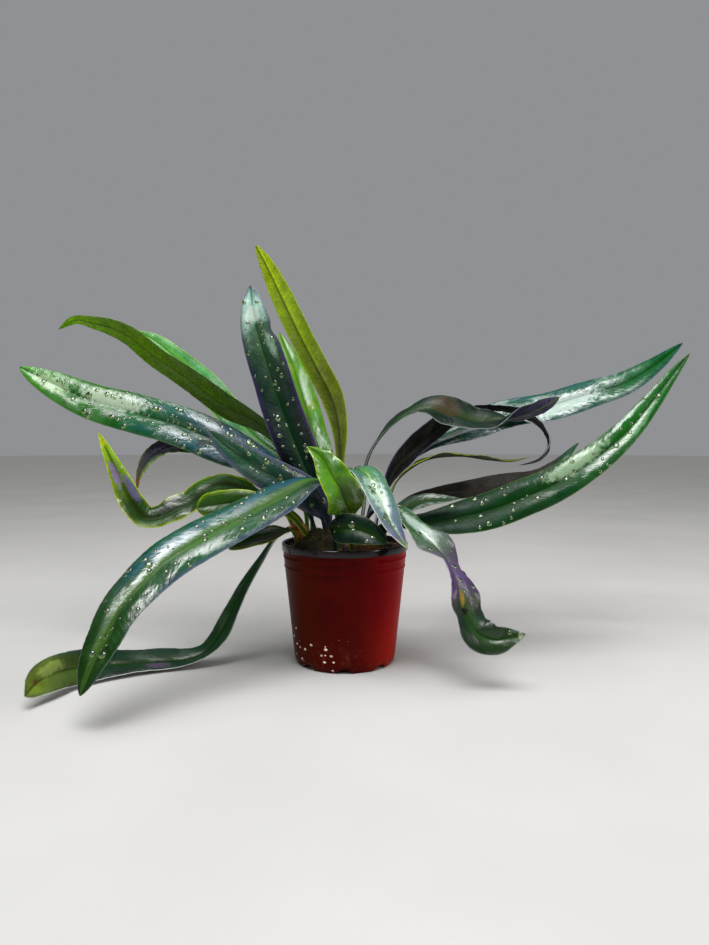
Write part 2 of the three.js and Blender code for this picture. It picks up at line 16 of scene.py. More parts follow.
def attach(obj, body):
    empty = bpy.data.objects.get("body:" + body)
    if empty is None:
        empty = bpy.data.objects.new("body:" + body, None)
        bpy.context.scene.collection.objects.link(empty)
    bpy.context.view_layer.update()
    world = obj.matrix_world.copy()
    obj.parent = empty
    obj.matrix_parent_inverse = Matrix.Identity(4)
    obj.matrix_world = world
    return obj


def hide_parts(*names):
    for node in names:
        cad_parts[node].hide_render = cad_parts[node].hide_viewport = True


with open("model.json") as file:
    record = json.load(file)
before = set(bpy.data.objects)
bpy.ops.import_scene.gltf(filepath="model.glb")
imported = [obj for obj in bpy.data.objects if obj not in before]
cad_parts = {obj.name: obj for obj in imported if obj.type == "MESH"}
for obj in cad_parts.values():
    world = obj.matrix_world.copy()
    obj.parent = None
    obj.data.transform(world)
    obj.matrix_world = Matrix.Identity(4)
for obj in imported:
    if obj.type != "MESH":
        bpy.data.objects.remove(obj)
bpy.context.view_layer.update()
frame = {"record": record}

bl_info = {
    "name": "Potted Strap Fern",
    "version": (1, 0, 0),
    "blender": (4, 5, 0),
    "location": "View3D > Sidebar > Fern",
    "description": "Builds a potted fern with glossy blue-green strap fronds",
    "category": "Add Mesh",
}

MM = 0.001
ROOT = "root"

# The soil's level and the stalks, as in the solids, and the least half width of a blade, in millimetres.
SOIL_LEVEL = 81
STALK_DEPTH = 10
STALK_RISE = 8
STALK_RADIUS = 1.5
STALK_THICKNESS = 2.8
TIP_HALF_WIDTH = 0.14
# The step between the fronds' lanes in the third coordinate of a blade's surface.
LANE = 0.37

# The fronds, in millimetres. foot is where the stalk enters the soil, rib is the midrib from
# there to the tip, and face is the direction that the blade's upper side looks, at even steps
# along its length. half is half the greatest width, neck and full are where the blade starts
# and reaches it, taper shapes the tip, fold lifts the halves off the midrib and arch bends the
# margins back. bite is a notch in one margin: its side, place, length and depth.
FRONDS = (
    dict(
        name="upright_lime", foot=[-3, 7],
        rib=[[-3, 6, 114], [-3, 4, 144], [-4, 2, 168], [-9, 0, 189], [-19, -4, 209], [-32, -7, 234],
          [-43, -10, 257], [-53, -13, 278], [-61, -15, 293]],
        face=[[0.2, 1, 0], [0.2, 1, 0], [0.3, 1, 0.1], [0.4, 1, 0.2]],
        half=8.5, neck=0.22, full=0.55, taper=5, fold=0.2, arch=0.1, wave=0.05, waves=3,
    ),
    dict(
        name="standing_blue", foot=[-14, 3],
        rib=[[-17, 2, 108], [-28, 4, 137], [-40, 8, 166], [-47, 12, 184], [-54, 15, 206],
          [-61.5, 18, 229], [-67, 20, 250], [-70, 21, 273]],
        face=[[0.1, -1, 0.2], [0, -1, 0.2], [-0.1, -1, 0.1], [-0.2, -1, 0.2]],
        half=14.5, neck=0.12, full=0.42, taper=5, fold=0.3, arch=0.25, wave=0.07, waves=3,
        bite=(1, 0.83, 0.03, 0.2),
    ),
    dict(
        name="behind_pale", foot=[-13, 15],
        rib=[[-14, 18, 112], [-17, 24, 140], [-25, 36, 160], [-31, 52, 182], [-38, 68, 203],
          [-47, 86, 227], [-57, 102, 250]],
        face=[[0.2, -1, 0.4], [0.2, -0.9, 0.5], [0.2, -0.8, 0.6]],
        half=12, neck=0.12, full=0.45, taper=2.4, fold=0.3, arch=0.2, wave=0.05, waves=2.5,
    ),
    dict(
        name="lime_arch", foot=[-24, 6],
        rib=[[-25, 8, 108], [-38, 14, 144], [-60, 20, 168], [-92, 28, 186], [-118, 34, 204],
          [-145, 40, 222], [-167, 43, 239], [-181, 45, 245.5], [-196, 47, 249.5], [-211, 49, 252],
          [-224, 50, 245]],
        face=[[0.3, 0.2, 0.6], [0.3, 0.5, 0.8], [0.2, 0.7, 0.7], [0.1, 0.7, 0.7], [-0.1, 0.6, 0.8]],
        half=13.5, neck=0.12, full=0.5, taper=2.2, fold=0.25, arch=0.25, wave=0.04, waves=3,
    ),
    dict(
        name="pale_back", foot=[-28, 15],
        rib=[[-30, 18, 108], [-47, 28, 144], [-68, 40, 160], [-100, 66, 188], [-116, 80, 204],
          [-132, 96, 217], [-151, 112, 232], [-168, 124, 245], [-189, 133, 256]],
        face=[[0, -0.5, 0.7], [0, -0.8, 0.7], [0, -0.8, 0.7], [-0.1, -0.8, 0.6]],
        half=12, neck=0.12, full=0.5, taper=3.6, fold=0.3, arch=0.25, wave=0.05, waves=3,
    ),
    dict(
        name="long_left", foot=[-20, -8],
        rib=[[-25, -7, 106], [-44, -5, 134], [-81, -3, 153], [-117, 6, 168], [-153, 16, 178],
          [-190, 25, 188], [-228, 35, 204], [-251, 41, 215]],
        face=[[0.2, -0.4, 0.8], [0.2, -0.7, 0.6], [0.1, -0.9, 0.5], [0.1, -0.9, 0.5], [0.1, -0.9, 0.5]],
        half=16.5, neck=0.1, full=0.42, taper=4.2, fold=0.35, arch=0.3, wave=0.03, waves=3,
    ),
    dict(
        name="violet_left", foot=[-13, -8],
        rib=[[-13, -9, 105], [-22, -16, 118], [-33, -21, 126], [-44, -25, 132], [-55, -28, 138],
          [-67, -30, 146], [-79, -33, 155], [-91, -35, 166]],
        face=[[0.5, -0.9, 0.5], [0.4, -1, 0.4], [0.2, -1, 0.4], [0.2, -1, 0.4]],
        half=12.5, neck=0.14, full=0.42, taper=2.8, fold=0.3, arch=0.25, wave=0.06, waves=2,
    ),
    dict(
        name="front_arch", foot=[-5, -7],
        rib=[[-5, -14, 108], [-9, -21, 126], [-20, -31, 132], [-45, -50, 120], [-70, -66, 107],
          [-90, -78, 97], [-106, -91, 87], [-119, -104, 74], [-127, -114, 63], [-132, -123, 50],
          [-137, -130, 37], [-142, -134, 21]],
        face=[[0.4, 0.7, 0], [0.4, 0.7, 0.3], [0, -0.2, 1], [-0.2, -0.7, 0.7], [-0.2, -0.8, 0.6],
          [-0.2, -0.8, 0.5], [-0.3, -0.8, 0.3], [-0.3, -0.9, 0.3], [-0.3, -0.9, 0.2]],
        half=15.5, neck=0.08, full=0.42, taper=5, fold=0.3, arch=0.3, wave=0.03, waves=3,
    ),
    dict(
        name="upturned", foot=[-27, -8.5],
        rib=[[-32, -10, 103], [-47, -13, 114.5], [-60, -15, 121.5], [-73, -18, 126.5], [-86, -24, 128],
          [-95, -30, 125], [-103, -34, 117], [-112, -38, 113], [-122, -41, 108.5], [-131, -43, 107.5],
          [-138, -43, 114], [-143, -42, 122], [-149, -40, 134], [-156, -38, 148], [-164, -36, 164]],
        face=[[0.5, -0.5, 0.5], [0, -0.3, 1], [-0.1, -0.3, 1], [-0.1, -0.6, 0.8], [-0.1, -0.7, 0.7],
          [0.1, -0.7, 0.7], [0.5, -0.9, 0.2], [0.5, -0.9, 0.2]],
        half=10.5, neck=0.1, full=0.45, taper=2, fold=0.3, arch=0.1, wave=0.14, waves=5,
    ),
    dict(
        name="violet_arch", foot=[-35, 0],
        rib=[[-41, 0, 104], [-60, 2, 131], [-84, 6, 146], [-104, 9, 153], [-121, 12, 155],
          [-135, 13, 152], [-144, 12, 145], [-150, 10, 134], [-152, 8, 122]],
        face=[[0.6, -0.2, 0.5], [0, -0.2, 1], [0, -0.3, 1], [-0.3, -0.7, 0.7], [-0.7, -0.7, 0.3]],
        half=9.5, neck=0.1, full=0.6, taper=2.8, fold=0.35, arch=0.15, wave=0.1, waves=3.5,
    ),
    dict(
        name="short_lime", foot=[-24, -21],
        rib=[[-29, -25, 98], [-38, -32, 109], [-54, -38, 116], [-69, -43, 118], [-82, -47, 117],
          [-96, -50, 115]],
        face=[[0.5, -0.8, 0.4], [0, -1, 0.3], [-0.1, -1, 0.3], [-0.3, -0.9, 0.3]],
        half=9, neck=0.35, full=0.75, taper=6, fold=0.2, arch=0.1, wave=0.12, waves=2,
    ),
    dict(
        name="low_left", foot=[-33, -20],
        rib=[[-35, -23, 96], [-42, -30, 98], [-52, -35, 95], [-64, -41, 92], [-76, -45, 87]],
        face=[[0.6, 0.6, 0], [0.5, 0.5, 0.4], [-0.1, -0.4, 1], [-0.2, -0.7, 0.7], [-0.2, -0.7, 0.7]],
        half=8.5, neck=0.3, full=0.6, taper=2.4, fold=0.25, arch=0.1, wave=0.06, waves=2,
    ),
    dict(
        name="trailing", foot=[-34, -11],
        rib=[[-37, -12, 97], [-47, -14, 92], [-59, -14, 75], [-71, -13, 56], [-80, -12, 38],
          [-89, -12, 20], [-99, -14, 9], [-112, -18, 5], [-129, -23, 5], [-147, -31, 6],
          [-162, -42, 8], [-173, -56, 11], [-181, -72, 13], [-186, -87, 12], [-187, -102, 9]],
        face=[[0.9, -0.2, 0.2], [0.1, -0.4, 1], [0, -0.9, 0.4], [-0.2, -0.8, 0.5], [0.1, -0.3, 1],
          [0.2, -0.35, 1], [0.3, -0.5, 0.7], [0.6, -0.6, 0.4], [0.7, -0.5, 0.4]],
        half=11.5, neck=0.1, full=0.7, taper=7, fold=0.35, arch=0.1, wave=0.1, waves=5,
    ),
    dict(
        name="young_crumpled", foot=[5, -19],
        rib=[[4, -24, 100], [4, -34, 111], [1, -44, 118], [-2, -52, 127], [-8, -52, 137],
          [-14, -48, 147], [-24, -42, 155]],
        face=[[0, -1, 0], [0, -0.8, -0.5], [0.1, -0.9, -0.3], [0.3, -0.9, 0.3], [0.2, -0.9, 0.5]],
        half=13, neck=0.34, full=0.54, taper=1.5, fold=0.5, arch=0.2, wave=0.22, waves=2.5,
    ),
    dict(
        name="centre_droop", foot=[3, -6],
        rib=[[2, -8, 106], [0, -10, 126], [3, -17, 137], [13, -29, 137], [20, -41, 127],
          [26, -51, 115], [31, -58, 104], [40, -65, 91]],
        face=[[-0.5, 0.8, 0], [-0.5, 0.8, 0.1], [-0.4, 0.7, 0.4], [0.1, -0.2, 1], [0.4, -0.6, 0.7],
          [0.5, -0.7, 0.6], [0.6, -0.8, 0.4]],
        half=11.5, neck=0.16, full=0.6, taper=2.4, fold=0.4, arch=0.2, wave=0.04, waves=3,
    ),
    dict(
        name="damaged_right", foot=[12, -5],
        rib=[[15, -7, 102], [26, -13, 113], [35, -20, 112], [45, -30, 103], [56, -40, 93],
          [66, -48, 82], [72, -54, 71], [75.5, -58, 58], [79, -62, 47], [85, -66, 37], [95, -68, 33],
          [105, -70, 35], [114, -73, 38]],
        face=[[-0.7, 0.5, 0], [-0.7, 0.5, 0.3], [0, 0, 1], [0.4, -0.5, 0.8], [0.6, -0.7, 0.5],
          [0.9, -0.5, 0.3], [0.7, -0.8, 0.2], [0.2, -0.9, 0.3], [-0.1, -0.8, 0.5]],
        half=14, neck=0.1, full=0.55, taper=3.4, fold=0.3, arch=0.1, wave=0.16, waves=5,
        bite=(1, 0.68, 0.035, 0.4),
    ),
    dict(
        name="long_right", foot=[20, -2],
        rib=[[24, -3, 96], [43, -6, 100], [61, -7, 100.5], [82, -9, 104], [104, -10, 109.5],
          [126, -9, 118], [148, -7, 127], [175, -4, 143], [201, 0, 164], [220, 4, 185],
          [237, 7, 206], [251, 10, 222]],
        face=[[-0.4, -0.6, 0.8], [-0.1, -0.8, 0.6], [-0.1, -0.9, 0.5], [-0.2, -0.9, 0.4],
          [-0.3, -0.9, 0.3]],
        half=14.5, neck=0.06, full=0.34, taper=1.6, fold=0.3, arch=0.25, wave=0.03, waves=3,
    ),
    dict(
        name="short_right", foot=[24, -13],
        rib=[[29, -13, 98], [42, -12, 110], [56, -11, 116], [69, -12, 117], [81, -13, 118]],
        face=[[-0.4, -0.6, 0.6], [-0.1, -0.6, 0.8], [0, -0.6, 0.8]],
        half=7.5, neck=0.15, full=0.5, taper=1.8, fold=0.3, arch=0.1, wave=0.08, waves=2,
    ),
    dict(
        name="long_back", foot=[16, 16],
        rib=[[19, 22, 108], [38, 38, 136], [62, 51, 156], [98, 61, 169], [132, 66, 180],
          [164, 64, 185.5], [194, 58, 195], [218, 48, 203], [238, 39, 216.5], [254, 28, 232]],
        face=[[-0.5, -0.5, 0.6], [-0.2, -0.6, 0.8], [-0.1, -0.7, 0.8], [-0.1, -0.8, 0.6],
          [-0.2, -0.8, 0.6]],
        half=16, neck=0.1, full=0.5, taper=2.6, fold=0.25, arch=0.2, wave=0.04, waves=3,
    ),
    dict(
        name="twisted_right", foot=[11, 7],
        rib=[[14, 10, 112], [16, 13, 143], [27, 17, 162], [45, 21, 177], [63, 23, 182], [79, 23, 178.5],
          [97, 21, 173], [112, 20, 173.5], [128, 20, 176], [145, 22, 182], [161, 25, 191]],
        face=[[-0.9, 0, 0.3], [-0.9, 0, 0.3], [-0.9, 0, 0.4], [-0.8, 0, 0.6], [-0.3, -0.3, 1],
          [0, -0.7, 0.8], [0, -0.7, 0.8], [0.1, 0.6, 0.8], [0.1, 0.9, 0.4]],
        half=14.5, neck=0.2, full=0.6, taper=2.6, fold=0.3, arch=0.1, wave=0.14, waves=4,
    ),
    dict(
        name="hooked", foot=[22, 10],
        rib=[[25, 14, 108], [35, 22, 133], [51, 30, 151], [70, 38.4, 166], [92, 46, 178],
          [114, 50, 182], [136, 48, 179], [151, 42, 169], [155, 33, 155], [145, 24, 145],
          [129, 18, 140]],
        face=[[-0.6, 0.4, 0.5], [-0.5, 0.7, 0.5], [-0.3, 0.9, 0.4], [-0.1, 0.8, 0.6], [0.2, 0.4, 0.8],
          [0.9, 0, 0.4], [0.8, -0.4, -0.4], [0.2, -0.5, -0.9]],
        half=11, neck=0.12, full=0.4, taper=2, fold=0.3, arch=0.1, wave=0.08, waves=4,
    ),
    dict(
        name="ribbon", foot=[29, 9],
        rib=[[31, 10, 106], [37, 13, 127], [50, 16, 139], [63, 19, 145], [86, 22, 147], [109, 25, 144],
          [126, 26, 143], [139, 26, 146]],
        face=[[-0.8, 0.1, 0.4], [-0.6, 0.1, 0.7], [-0.1, 0.15, 1], [0, 0.1, 1], [0, 0, 1]],
        half=8, neck=0.15, full=0.55, taper=2.4, fold=0.25, arch=0.1, wave=0.12, waves=5,
    ),
    dict(
        name="under_right", foot=[28, 1],
        rib=[[31, 2, 103], [47, 5, 116], [67, 7, 120], [92, 11, 122.5], [118, 13, 126.5],
          [140, 15, 130.5], [157, 16, 140.5], [173, 16, 157]],
        face=[[-0.5, 0.5, 0.6], [-0.2, 0.7, 0.7], [-0.1, 0.8, 0.6], [-0.3, 0.8, 0.5]],
        half=10, neck=0.15, full=0.55, taper=2, fold=0.3, arch=0.2, wave=0.05, waves=3,
    ),
    dict(
        name="low_centre", foot=[-6, -29],
        rib=[[-7, -32, 97], [-7, -38, 100], [-2, -46, 101], [8, -51, 101], [18, -55, 98], [28, -57, 93]],
        face=[[0, -1, 0], [0, -0.9, -0.3], [-0.3, -0.9, 0.2], [-0.1, -1, 0.3], [0.2, -0.9, 0.5]],
        half=10, neck=0.3, full=0.6, taper=2.4, fold=0.25, arch=0.1, wave=0.06, waves=2,
    ),
)

# How each frond is coloured. top and under are the colours of its two faces from the stalk to
# the tip, each with its share of the length. heart is the zone beside the midrib, band the sheen
# outside it, margin the flush along the edges, rib and keel the midrib seen from above and from
# below, and edge the thin rim, each with its strength; the rim's pale tone is partly its own and
# partly a painted highlight. film is how much glossy coat the upper face has along its length,
# reach the stretch where band and margin show, and lean puts the band on one side of the midrib
# and the margin on the other. spots are patches: share of the length, place across, length,
# width, colour, strength, and the face they show on, 1 for the lower; besides real marks they
# hold painted sheen, pale whitish-green patches that stand in for broad highlights. beads is how
# many water beads stand on a square centimetre, crinkle and pleat how ruffled the margins and how
# ribbed the halves are in millimetres, and gloss the roughness of the upper face.
PLAIN_LOOK = dict(
    top=((0, "143203"), (0.5, "0b3e05"), (1, "104d03")),
    under=((0, "141409"), (0.5, "1e250c"), (1, "283b03")), heart=("254c03", 0.3),
    band=("03455f", 0.3), margin=("3c2e57", 0.35), rib=("0c1d03", 0.5), keel=("465c03", 0.6),
    edge=("667c3d", 0.35), film=((0, 0.6), (1, 0.75)), reach=(-1, 3), lean=0, spots=(), beads=0.0,
    crinkle=0.5, pleat=0.05, gloss=0.34,
)
LOOKS = {
    "upright_lime": dict(
        top=((0, "1d4d03"), (1, "486e06")),
        under=((0, "1c2408"), (0.25, "343c0e"), (0.5, "525e12"), (0.72, "70880c"), (1, "a2c002")),
        band=("036e03", 0.1), margin=("799d03", 0.4), keel=("343410", 0.7), edge=("a0bb03", 0.5),
        crinkle=0.3,
    ),
    "standing_blue": dict(
        # Painted highlight: the pale stops near the tip of top and the two pale spots.
        top=((0, "020302"), (0.35, "040806"), (0.55, "071309"), (0.75, "1f391f"), (0.87, "37573b"),
          (0.94, "b3d7ca"), (1, "78a191")),
        under=((0, "0c0d0b"), (0.5, "14220f"), (1, "26401c")), heart=("0a3e1b", 0.3),
        band=("0c2430", 0.35), margin=("2f1351", 0.7), rib=("051d12", 0.5),
        film=((0, 0.05), (0.55, 0.08), (0.8, 0.5), (0.93, 1), (1, 1)),
        spots=((0.9, -0.1, 0.035, 0.7, "c4d4c8", 0.5, 0), (0.78, 0.55, 0.05, 0.25, "8fb09a", 0.35, 0)),
        beads=2.4, crinkle=0.4, gloss=0.36,
    ),
    "behind_pale": dict(
        top=((0, "164402"), (0.5, "2c5b02"), (1, "3d6602")), under=((0, "1d3a03"), (1, "355603")),
        heart=("4e8403", 0.3), band=("367e12", 0.2), margin=("638703", 0.3), film=((0, 0.4), (1, 0.6)),
        spots=((0.6, 0.4, 0.03, 0.4, "8a8a30", 0.25, 0), (0.8, -0.3, 0.04, 0.4, "86842c", 0.2, 0)),
    ),
    "lime_arch": dict(
        top=((0, "0d3503"), (1, "306203")),
        under=((0, "203501"), (0.3, "325601"), (0.6, "4a7000"), (0.85, "618f00"), (1, "81be00")),
        band=("036e15", 0.2), margin=("3d6703", 0.3), keel=("243803", 0.6), edge=("7d8b5b", 0.5),
        film=((0, 0.25), (0.5, 0.2), (1, 0.25)), crinkle=0.4,
    ),
    "pale_back": dict(
        top=((0, "083502"), (0.35, "14501a"), (0.6, "2c6a34"), (1, "3c7a2a")),
        under=((0, "193203"), (1, "325603")), heart=("5a9a3c", 0.45), band=("095d33", 0.25),
        margin=("406d03", 0.3), edge=("9ab85a", 0.6), film=((0, 0.1), (0.45, 0.3), (0.85, 0.4), (1, 0.4)),
        gloss=0.36,
    ),
    "long_left": dict(
        top=((0, "0a1029"), (0.25, "020e23"), (0.42, "011a1f"), (0.6, "09441c"), (0.8, "1d550f"),
          (1, "357316")),
        under=((0, "10120c"), (0.4, "16260f"), (1, "2a4418")), heart=("113e18", 0.35),
        band=("0a4a5c", 0.4), margin=("1a3e33", 0.3), rib=("051d0f", 0.6),
        film=((0, 0.2), (0.36, 0.25), (0.52, 0.9), (0.6, 1), (0.93, 1), (1, 0.7)), reach=(-1, 0.7),
        # The second and third spots, pale green-white, are painted sheen.
        spots=((0.44, -0.45, 0.012, 0.28, "0a120d", 0.8, 0), (0.72, 0.35, 0.11, 0.5, "c3d2bd", 0.45, 0),
          (0.9, -0.1, 0.07, 0.6, "b9cfab", 0.4, 0)),
        beads=2.6, crinkle=0.35, gloss=0.36,
    ),
    "violet_left": dict(
        top=((0, "06020c"), (0.3, "141127"), (0.5, "10221e"), (0.75, "0c3216"), (1, "134005")),
        under=((0, "06030e"), (0.4, "190d2b"), (1, "1c1c21")), heart=("1d3929", 0.3),
        band=("103a40", 0.35), margin=("4b4071", 0.5), rib=("0b2919", 0.5),
        spots=((0.3, 0.5, 0.06, 0.5, "3e136c", 0.6, 1),), beads=1.2, gloss=0.4,
    ),
    "front_arch": dict(
        top=((0, "0e3802"), (0.3, "0a3115"), (0.6, "0c4321"), (0.8, "063005"), (0.9, "0d2c03"),
          (1, "0b2d03")),
        under=((0, "0f100e"), (0.4, "17240f"), (1, "2a4216")), heart=("46662a", 0.55),
        band=("16496c", 0.5), margin=("443c70", 0.4), rib=("253e03", 0.5), edge=("6a7a78", 0.35),
        film=((0, 0.2), (0.45, 0.2), (0.62, 0.75), (0.72, 1), (0.8, 1), (0.88, 0.2), (1, 0.1)),
        reach=(0.1, 0.84), lean=1, beads=1.7, crinkle=0.35, pleat=0.1, gloss=0.34,
    ),
    "upturned": dict(
        top=((0, "040b00"), (0.4, "040b00"), (0.6, "010900"), (0.75, "070d00"), (1, "729303")),
        under=((0, "213103"), (0.5, "314a03"), (1, "547303")), heart=("2c4a03", 0.3),
        band=("367e12", 0.2), margin=("759303", 0.3), edge=("a5bb03", 0.5),
        film=((0, 0.1), (0.45, 0.2), (0.6, 0.45), (0.72, 0.15), (1, 0.6)),
        spots=((0.86, -0.35, 0.05, 0.5, "5d4a71", 0.8, 0), (0.8, 0.55, 0.06, 0.35, "4e3e71", 0.7, 0),
          (0.97, 0, 0.02, 0.7, "999903", 0.7, 0)),
        crinkle=1.1, gloss=0.3,
    ),
    "violet_arch": dict(
        top=((0, "223e03"), (0.3, "293721"), (0.5, "3a3450"), (0.85, "3e3c4c"), (1, "553405")),
        under=((0, "284a03"), (0.5, "335203"), (1, "515103")), band=("2b2954", 0.3),
        margin=("587d03", 0.55), edge=("92a203", 0.35),
        spots=((0.7, 0, 0.16, 0.55, "4c4468", 0.6, 0), (0.98, 0, 0.035, 1.2, "613703", 0.9, 0),
          (0.98, 0, 0.035, 1.2, "613703", 0.9, 1)),
        crinkle=0.9,
    ),
    "short_lime": dict(
        top=((0, "081501"), (0.5, "0f2701"), (1, "183301")), under=((0, "253503"), (1, "3e6303")),
        band=("2d5f03", 0.15), margin=("658303", 0.4), edge=("99af03", 0.5), film=((0, 0.15), (1, 0.35)),
        crinkle=0.7,
    ),
    "low_left": dict(
        top=((0, "070d01"), (1, "0b1801")), under=((0, "040604"), (0.5, "060a03"), (1, "0d1104")),
        band=("123619", 0.2), margin=("485a03", 0.5), edge=("949a03", 0.5), film=((0, 0.1), (1, 0.08)),
        crinkle=0.5,
    ),
    "trailing": dict(
        top=((0, "102e03"), (0.35, "0e3603"), (0.6, "08200a"), (0.78, "0c1a08"), (0.9, "465315"),
          (1, "677520")),
        under=((0, "16150e"), (0.45, "201a1c"), (0.7, "2c231d"), (0.9, "485603"), (1, "797103")),
        heart=("173a03", 0.3), band=("033e2e", 0.25), margin=("25303d", 0.4), rib=("0c2a03", 0.5),
        edge=("b0b8ae", 0.7), film=((0, 0.35), (0.55, 0.3), (0.7, 0.2), (1, 0.3)),
        spots=((0.56, 0.4, 0.045, 0.6, "60356a", 0.8, 1), (0.62, -0.55, 0.035, 0.35, "5c4464", 0.4, 0),
          (0.95, 0.1, 0.008, 0.2, "512703", 0.9, 0), (0.9, 0.35, 0.04, 0.4, "8ca050", 0.5, 0)),
        crinkle=0.6,
    ),
    "young_crumpled": dict(
        top=((0, "384e03"), (0.4, "4d680c"), (0.7, "3f6c0c"), (1, "30540c")),
        under=((0, "485603"), (0.4, "4f7303"), (1, "2f6303")), heart=("406d03", 0.3),
        band=("327340", 0.25), margin=("5c8303", 0.35), edge=("a1b703", 0.5),
        film=((0, 0.1), (0.3, 0.5), (0.5, 1), (1, 1)),
        spots=((0.62, 0.45, 0.12, 0.6, "34342d", 0.5, 0), (0.62, 0.45, 0.12, 0.6, "34342d", 0.5, 1)),
        crinkle=1.8, gloss=0.26,
    ),
    "centre_droop": dict(
        top=((0, "173603"), (0.4, "244e0a"), (0.6, "35673e"), (0.85, "526265"), (0.95, "4f3768"),
          (1, "788a03")),
        under=((0, "161511"), (0.5, "1f1f1b"), (1, "323d05")), heart=("4a7018", 0.5),
        band=("2f5a68", 0.4), margin=("44585a", 0.25), rib=("355603", 0.5), edge=("b3b8b3", 0.6),
        film=((0, 0.1), (0.25, 0.2), (0.45, 0.8), (1, 0.8)),
        # The pale spot is painted sheen.
        spots=((0.72, 0.1, 0.12, 0.7, "b9cdbf", 0.5, 0),), beads=2.2, crinkle=0.7, gloss=0.3,
    ),
    "damaged_right": dict(
        top=((0, "161f16"), (0.25, "223e2a"), (0.45, "30502c"), (0.52, "3c4a40"), (0.58, "4c3a58"),
          (0.66, "44305a"), (0.72, "26281f"), (0.8, "14241a"), (0.9, "12280a"), (1, "162e0c")),
        under=((0, "0e0c11"), (0.5, "291d3d"), (0.7, "1a181d"), (1, "083803")), band=("3c4c44", 0.1),
        margin=("4c2c5c", 0.4), edge=("84848e", 0.5),
        film=((0, 0.3), (0.3, 1), (0.45, 0.9), (0.55, 0.55), (0.64, 0.25), (0.8, 0.2), (0.93, 0.4),
          (1, 0.3)),
        reach=(0.48, 0.8),
        # The last spot, pale grey-green, is painted sheen.
        spots=((0.71, 0.1, 0.045, 0.26, "7a6420", 0.9, 0), (0.76, 0.15, 0.014, 0.28, "0d0805", 0.95, 0),
          (0.67, 0.1, 0.05, 0.22, "5b5b03", 0.7, 0), (0.985, 0, 0.01, 1.0, "8b9b76", 0.5, 0),
          (0.42, -0.1, 0.09, 0.6, "b4c4c0", 0.4, 0)),
        beads=0.6, crinkle=0.9, gloss=0.32,
    ),
    "long_right": dict(
        top=((0, "001600"), (0.3, "001a00"), (0.55, "012e00"), (0.8, "055405"), (1, "0e5303")),
        under=((0, "0f120b"), (0.5, "1a2c0f"), (1, "2a4a14")), heart=("033a03", 0.3),
        band=("033e2e", 0.25), margin=("04321b", 0.4), rib=("031d03", 0.65),
        film=((0, 0.02), (0.42, 0.02), (0.58, 0.4), (0.68, 0.8), (0.8, 0.7), (0.88, 0.2), (1, 0.1)),
        # Both pale spots are painted sheen.
        spots=((0.6, -0.42, 0.1, 0.5, "a9c6a0", 0.4, 0), (0.77, 0.45, 0.07, 0.35, "86ab80", 0.3, 0)),
        beads=1.3, crinkle=0.35, gloss=0.36,
    ),
    "short_right": dict(
        top=((0, "020f01"), (0.5, "041901"), (1, "0b2702")), under=((0, "0d120a"), (1, "1e3014")),
        band=("0f4226", 0.3), margin=("2f343f", 0.3), film=((0, 0.1), (0.5, 0.15), (0.9, 0.5), (1, 0.5)),
        crinkle=0.5,
    ),
    "long_back": dict(
        top=((0, "031b09"), (0.3, "02280d"), (0.7, "07462b"), (1, "025301")),
        under=((0, "0b0e0b"), (0.5, "16240f"), (1, "264216")), heart=("0a3e22", 0.3),
        band=("1c446a", 0.2), margin=("202c4a", 0.4), edge=("79848f", 0.5),
        film=((0, 0.3), (0.4, 0.5), (0.55, 0.9), (0.82, 0.9), (0.88, 0.3), (0.94, 0.1), (1, 0.1)),
        # Both pale spots are painted sheen.
        spots=((0.68, 0.15, 0.12, 0.7, "c9d8d0", 0.5, 0), (0.5, 0.3, 0.08, 0.5, "a8bfc4", 0.4, 0)),
        gloss=0.4,
    ),
    "twisted_right": dict(
        top=((0, "0f2707"), (0.3, "0b2005"), (0.45, "0d2111"), (0.6, "091105"), (0.75, "040804"),
          (1, "0e1812")),
        under=((0, "1c280c"), (0.5, "121412"), (0.8, "1c1830"), (1, "221c3c")), band=("0c3a2a", 0.3),
        margin=("2c3a2c", 0.3), edge=("8a9592", 0.5),
        film=((0, 0.03), (0.28, 0.05), (0.34, 0.6), (0.4, 0.15), (0.6, 0.08), (0.82, 0.1), (0.9, 0.7),
          (1, 1)),
        spots=((0.62, -0.2, 0.05, 0.7, "372711", 0.6, 0),), crinkle=0.9, gloss=0.32,
    ),
    "hooked": dict(
        top=((0, "071807"), (0.5, "081e16"), (1, "0b2902")),
        under=((0, "060a03"), (0.5, "0c1007"), (0.85, "120e0e"), (1, "112502")), band=("0e3553", 0.4),
        margin=("3c2958", 0.5), keel=("1c2a10", 0.6), edge=("a3a8b3", 0.6),
        film=((0, 0.3), (0.8, 0.3), (0.86, 0.1), (1, 0.1)),
        spots=((0.93, 0.2, 0.05, 0.8, "185303", 0.7, 1),), crinkle=0.7, gloss=0.34,
    ),
    "ribbon": dict(
        top=((0, "0e2901"), (1, "223901")), under=((0, "0e2602"), (0.5, "102701"), (1, "1b3301")),
        band=("2e5c31", 0.2), margin=("566e03", 0.4), edge=("92a226", 0.6), film=((0, 0.2), (1, 0.25)),
        crinkle=0.8,
    ),
    "under_right": dict(
        top=((0, "042a13"), (1, "034223")),
        under=((0, "110c0c"), (0.48, "0f120a"), (0.6, "4a4844"), (0.82, "5a5a55"), (0.92, "2f6a4a"),
          (1, "3c8a5c")),
        band=("063d52", 0.4), margin=("3e2631", 0.4), keel=("372721", 0.5), edge=("5d4d52", 0.5),
        film=((0, 0.1), (0.5, 0.1), (1, 0.3)), spots=((0.92, -0.3, 0.03, 0.5, "c0d8c8", 0.5, 1),),
    ),
    "low_centre": dict(
        top=((0, "030c01"), (0.5, "031202"), (1, "051d04")), under=((0, "070c07"), (1, "0d190d")),
        band=("032924", 0.3), margin=("121827", 0.4), rib=("032103", 0.5), film=((0, 0.08), (1, 0.08)),
        beads=0.7,
    ),
}


def length(name, description, default, least=0):
    """A length property, with its default and its least value in millimetres."""
    return FloatProperty(
        name=name, description=description, default=default * MM, min=least * MM, unit="LENGTH",
    )


